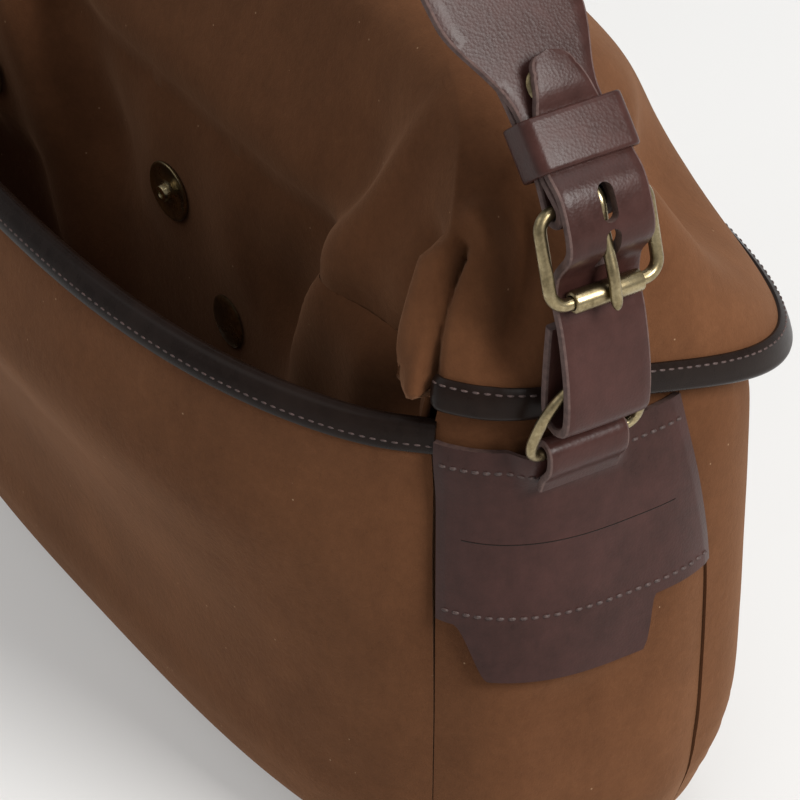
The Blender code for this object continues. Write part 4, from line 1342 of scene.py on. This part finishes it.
def build_shoulder_strap():
    """One strap: inner ply, wrap round the heel bar, outer ply and arch, then the same again."""
    plies = []
    for k in range(22):
        p, up, out = strap_place((INNER_PLY_END - (INNER_PLY_END - PLY_START) * k / 21) * MM)
        plies.append((p - out * PLY, HEEL_WIDTH))
    heel = side_place(HEEL_CENTRE)
    up, out = lean()
    for k in range(17):
        turn = math.pi * k / 16
        offset = -out * math.cos(turn) - up * math.sin(turn)
        plies.append((heel + offset * HEEL_WRAP, HEEL_WIDTH))
    length = sum((b - a).length for a, b in zip(STRAP_LINE, STRAP_LINE[1:])) / MM
    fine = np.arange(PLY_START, FINE_STRAP_END, 2.0)
    for d in [*fine, *np.linspace(FINE_STRAP_END, length, 60)]:
        p, up, out = strap_place(d * MM)
        flare = float(ramp(np.array(d), FLARE_START, FLARE_START + FLARE_LENGTH))
        plies.append((p + out * PLY, HEEL_WIDTH + (STRAP_WIDTH - HEEL_WIDTH) * flare))
    middle = plies[-1][0]
    plies[-1] = (Vector((0.0, middle.y, middle.z)), STRAP_WIDTH)
    twin = [(Vector((-p.x, p.y, p.z)), w) for p, w in reversed(plies[:-1])]
    whole = plies + twin
    path = [p for p, _ in whole]
    widths = [w * MM for _, w in whole]
    made = strap("shoulder_strap_leather", path, widths, STRAP_T, [LEATHER_MAT, RAW_MAT])
    rise, face = lean()
    cutters = []
    for sign, label in ((1, "right"), (-1, "left")):
        centre = Vector((heel.x * sign, heel.y, heel.z))
        up = Vector((rise.x * sign, 0, rise.z))
        out = Vector((face.x * sign, 0, face.z))
        cutters.append(slot_cutter(f"fold_slot_{label}", centre, up, out, *FOLD_SLOT))
    made = cut(made, cutters)
    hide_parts("shoulder_strap")


def build_tab():
    """The tab: folded round the ring, up inside the roller, over the heel bar, to a free tip."""
    radius = FOLD_RADIUS
    x, z = FOLD_CENTRE
    line = [(x - 3.6, z + 24.0), (x - 4.3, z + 16.0), (x - radius, z + 8.0)]
    line += arc(FOLD_CENTRE, radius, 180, 360, 10)
    behind = ROLLER_RADIUS + 0.4 + STRAP_T / MM / 2
    rx, rz = ROLLER_CENTRE
    line += [(x + radius, z + 8.0), (x + 3.4, z + 17.0), (x + 1.4, z + 25.0)]
    line += [(rx - behind, rz - 1.0), (rx - behind + 0.3, rz + 5.0)]
    path = side_view(line)
    heel = side_place(HEEL_CENTRE)
    over = HEEL_WRAP + STRAP_T + TAB_OVER * MM
    rise, face = buckle_lean()
    up, out = lean()
    path.append(heel + face * over * 0.95 - rise * 9.0 * MM)
    path.append(heel + face * over - rise * 2.0 * MM)
    path.append(heel + out * over + up * 2.5 * MM)
    for distance, lift in TAB_LIFTS:
        p, _, face = strap_place(distance * MM)
        path.append(p + face * (PLY + STRAP_T + lift * MM))
    widths = [TAB_WIDTH] * (len(path) - len(TAB_END_WIDTHS)) + TAB_END_WIDTHS
    fine = smooth_path(path, TAB_STEPS)
    lengths = [0.0]
    for a, b in zip(path, path[1:]):
        lengths.append(lengths[-1] + (b - a).length)
    spread_widths = []
    for k in range(TAB_STEPS):
        here = lengths[-1] * k / (TAB_STEPS - 1)
        width = float(smooth_curve(lengths, widths, here))
        left = (lengths[-1] - here) / MM
        if left < TIP_LENGTH:
            round_share = math.sqrt(max(1 - (1 - left / TIP_LENGTH) ** 2, 0.0))
            width = min(width, TIP_WIDTH * round_share + 1.5)
        spread_widths.append(width * MM)
    made = strap("ring_tab_leather_right", fine, spread_widths, STRAP_T, [LEATHER_MAT, RAW_MAT])
    cutters = []
    up, out = buckle_lean()
    for k, (distance, length) in enumerate(TAB_HOLES):
        centre = heel + up * distance * MM + out * 6.0 * MM
        size = (length * MM, 4.4 * MM, 12 * MM)
        cutters.append(slot_cutter(f"tab_hole_{k}", centre, up, out, *size))
    return cut(made, cutters)


build_shoulder_strap()
both_ends(build_tab(), "ring_tab")


def turned(name, centre, axis, profile, sides, hollow=False):
    """A turned brass solid from (radius, height) pairs about an axis through the centre."""
    axis = axis.normalized()
    helper = Vector((0, 0, 1)) if abs(axis.z) < 0.9 else Vector((1, 0, 0))
    u = axis.cross(helper).normalized()
    v = axis.cross(u)
    rings = []
    for radius, height in profile:
        ring = []
        for k in range(sides):
            a = 2 * math.pi * k / sides
            ring.append(centre + axis * height + (u * math.cos(a) + v * math.sin(a)) * radius)
        rings.append(ring)
    return swept(name, rings, BRASS_MAT, closed=hollow)


PRONG_RADIUS = 1.55
PRONG_OFF = 1.3
PRONG_STEPS = 70
PRONG_TIP_SHARE = 0.08


def build_buckle():
    """The frame, its roller and the prong that hangs from the heel bar on to the roller."""
    heel = side_place(HEEL_CENTRE)
    foot = side_place(ROLLER_CENTRE)
    rise = (heel - foot).normalized()
    height = (heel - foot).length
    half = (BUCKLE_INNER_WIDTH + BUCKLE_WIRE) / 2 * MM
    corner = 4.5 * MM
    middle = (heel + foot) / 2
    path = []
    for sx, sz, start in ((1, 1, 0), (-1, 1, 90), (-1, -1, 180), (1, -1, 270)):
        centre = Vector((0, sx * (half - corner), 0)) + rise * sz * (height / 2 - corner)
        for k in range(13):
            a = math.radians(start + 7.5 * k)
            bend = Vector((0, math.cos(a) * corner, 0)) + rise * math.sin(a) * corner
            path.append(middle + centre + bend)
    across = Y_AXIS.cross(rise)
    radii = [BUCKLE_WIRE / 2 * MM] * len(path)
    bar = round_bar("buckle_frame_brass_right", path, radii, BRASS_MAT, True, across)
    both_ends(bar, "buckle_frame")
    outer = ROLLER_RADIUS * MM
    inner = (BUCKLE_WIRE / 2 + BUCKLE_CLEARANCE) * MM
    long = half - corner - 1.2 * MM
    r = 0.5 * MM
    profile = [(inner, -long), (outer - r, -long), (outer - r * 0.3, -long + r * 0.3)]
    profile += [(outer, -long + r), (outer, long - r), (outer - r * 0.3, long - r * 0.3)]
    profile += [(outer - r, long), (inner, long)]
    roller = turned("roller_brass_right", foot, Y_AXIS, profile, 48, True)
    both_ends(roller, "roller")
    out = Y_AXIS.cross(rise).normalized()
    if out.x < 0:
        out = -out
    heel_ring = (BUCKLE_WIRE / 2 + BUCKLE_CLEARANCE + PRONG_OFF) * MM
    prong_path = []
    for turn in (180, 140, 100, 60, 20):
        a = math.radians(turn)
        prong_path.append(heel + (out * math.cos(a) + rise * math.sin(a)) * heel_ring)
    tip = foot + out * (ROLLER_RADIUS + BUCKLE_CLEARANCE + PRONG_OFF) * MM
    prong_path.append(heel + out * 3.4 * MM - rise * 5.5 * MM)
    prong_path.append(heel + out * 4.0 * MM - rise * 12.0 * MM)
    prong_path.append(tip + rise * 5.0 * MM + out * 0.2 * MM)
    prong_path.append(tip)
    prong_path.append(tip - rise * 4.0 * MM - out * 0.3 * MM)
    fine = smooth_path(prong_path, PRONG_STEPS)
    radii = []
    for k in range(PRONG_STEPS):
        left = (PRONG_STEPS - 1 - k) / (PRONG_STEPS - 1)
        tip_share = max(1 - left / PRONG_TIP_SHARE, 0.0)
        radii.append(PRONG_RADIUS * math.sqrt(1 - tip_share**2 * 0.9) * MM)
    prong = round_bar("prong_brass_right", fine, radii, BRASS_MAT, False, Y_AXIS)
    both_ends(prong, "prong")


build_buckle()


def build_keeper():
    """A rounded band round the strap's two plies and the tab."""
    inner_low = -PLY - STRAP_T / 2 - 0.6 * MM
    inner_high = PLY + STRAP_T * 1.5 + 1.4 * MM
    half = TAB_WIDTH / 2 * MM + 0.5 * MM
    bend = 1.6 * MM
    rings = []
    profile = ((0.0, 0.0), (0.0, 0.75), (0.03, 0.97), (0.1, 1.0), (0.5, 1.0), (0.9, 1.0))
    profile += ((0.97, 0.97), (1.0, 0.75), (1.0, 0.0), (0.5, 0.0))
    for share, depth in profile:
        p, _, out = strap_place((KEEPER_START + KEEPER_HEIGHT * share) * MM)
        ring = []
        for sw, high, start in ((1, True, 0), (-1, True, 90), (-1, False, 180), (1, False, 270)):
            o = inner_high if high else inner_low
            for k in range(7):
                a = math.radians(start + 15 * k)
                at = p + Y_AXIS * sw * (half - bend)
                at += out * (o - (bend if high else -bend))
                turn = Vector((0, math.cos(a), 0)) + out * math.sin(a)
                ring.append(at + turn * (bend + KEEPER_T * MM * depth))
        rings.append(ring)
    return swept("keeper_leather_right", rings, LEATHER_MAT, closed=True, sharp=50)


both_ends(build_keeper(), "keeper")


def build_rivet():
    """A low dome on the strap's outer ply."""
    p, _, out = strap_place(RIVET_AT * MM)
    place = p + out * (PLY + STRAP_T / 2 + 0.25 * MM) - Y_AXIS * 2.0 * MM
    r = RIVET_RADIUS * MM
    profile = [(r * 0.95, 0.0), (r, 0.25 * MM), (r * 0.96, 0.6 * MM), (r * 0.85, 0.95 * MM)]
    profile += [(r * 0.6, 1.3 * MM), (r * 0.3, 1.48 * MM), (r * 0.05, 1.52 * MM)]
    return turned("rivet_brass_right", place, out, profile, 40)


both_ends(build_rivet(), "rivet")


STUD_OFF = 0.1 * MM


def build_stud(node_name, profile):
    """A turned stud on the place and slope of its frame node, above the folded wall."""
    low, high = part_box(node_name)
    centre = (low + high) / 2
    start = Vector((centre.x, -0.2, centre.z))
    graph = bpy.context.evaluated_depsgraph_get()
    hits = []
    r = DISC_RADIUS * MM
    for dx, dz in ((0, 0), (r, 0), (-r, 0), (0, r), (0, -r)):
        origin = start + Vector((dx, 0, dz))
        where = hood.ray_cast(origin, Y_AXIS, depsgraph=graph)[1]
        hits.append(where.copy())
    here = hits[0]
    normal = (hits[1] - hits[2]).cross(hits[3] - hits[4]).normalized()
    lift = max(0.0, *((h - here).dot(normal) for h in hits[1:]))
    made = turned(node_name + "_brass", here + normal * (lift + STUD_OFF), normal, profile, 56)
    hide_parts(node_name)


r = DISC_RADIUS * MM
MAGNET_PROFILE = (
    (r * 0.97, 0.0), (r, 0.3 * MM), (r, 0.8 * MM), (r * 0.97, 1.05 * MM), (r * 0.93, 1.1 * MM),
    (r * 0.90, 0.95 * MM), (r * 0.42, 0.85 * MM), (r * 0.38, 0.95 * MM), (r * 0.30, 1.5 * MM),
    (r * 0.28, 2.9 * MM), (r * 0.25, 3.25 * MM), (r * 0.13, 3.4 * MM), (r * 0.11, 2.9 * MM),
    (r * 0.01, 2.85 * MM),
)
DISC_PROFILE = (
    (r * 0.80, 0.0), (r * 0.86, 0.2 * MM), (r * 0.86, 0.6 * MM), (r * 0.82, 0.85 * MM),
    (r * 0.72, 1.1 * MM), (r * 0.45, 1.35 * MM), (r * 0.2, 1.5 * MM), (r * 0.01, 1.55 * MM),
)
bpy.context.view_layer.update()
build_stud("magnet_stud", MAGNET_PROFILE)
build_stud("wall_disc_near", DISC_PROFILE)
build_stud("wall_disc_far", DISC_PROFILE)

# Floor, light and camera

FLOOR_HALF = 6.0
FLOOR_Z = -0.0004
corners = [(x * FLOOR_HALF, y * FLOOR_HALF, FLOOR_Z) for x, y in ((-1, -1), (1, -1), (1, 1), (-1, 1))]
floor = new_object("floor", corners, [(0, 1, 2, 3)], floor_material())


def area_light(name, place, aim, size, power, colour):
    data = bpy.data.lights.new(name, "AREA")
    data.shape = "RECTANGLE"
    data.size, data.size_y = size
    data.energy = power
    data.color = colour
    lamp = bpy.data.objects.new(name, data)
    bpy.context.scene.collection.objects.link(lamp)
    lamp.location = place
    lamp.rotation_mode = "QUATERNION"
    lamp.rotation_quaternion = (Vector(aim) - Vector(place)).to_track_quat("-Z", "Y")


area_light("key", (1.7, 0.5, 1.5), (0.1, 0.0, 0.14), (0.9, 0.9), 56.0, (1.0, 0.985, 0.96))
area_light("top", (0.3, 0.4, 2.0), (0.1, 0.0, 0.1), (1.4, 1.4), 16.0, (0.98, 0.99, 1.0))
area_light("fill", (-0.5, -1.5, 1.3), (0.05, -0.2, 0.0), (1.6, 1.6), 7.0, (1.0, 0.99, 0.97))

world = bpy.data.worlds.new("studio")
bpy.context.scene.world = world
world.use_nodes = True
sky = world.node_tree.nodes["Background"]
sky.inputs["Color"].default_value = (0.95, 0.965, 1.0, 1.0)
sky.inputs["Strength"].default_value = 0.4

bpy.context.scene.view_settings.view_transform = "Standard"
camera_data = bpy.data.cameras.new("camera")
camera_data.lens = CAMERA_LENS
camera_data.sensor_width = 36.0
camera_data.clip_start = 0.01
camera_data.clip_end = 50.0
camera = bpy.data.objects.new("camera", camera_data)
bpy.context.scene.collection.objects.link(camera)
back = Vector((
    math.sin(CAMERA_AZIMUTH) * math.cos(CAMERA_ELEVATION),
    -math.cos(CAMERA_AZIMUTH) * math.cos(CAMERA_ELEVATION),
    math.sin(CAMERA_ELEVATION),
))
camera.location = CAMERA_AIM + back * CAMERA_DISTANCE
camera.rotation_mode = "QUATERNION"
camera.rotation_quaternion = (-back).to_track_quat("-Z", "Y")
bpy.context.scene.camera = camera
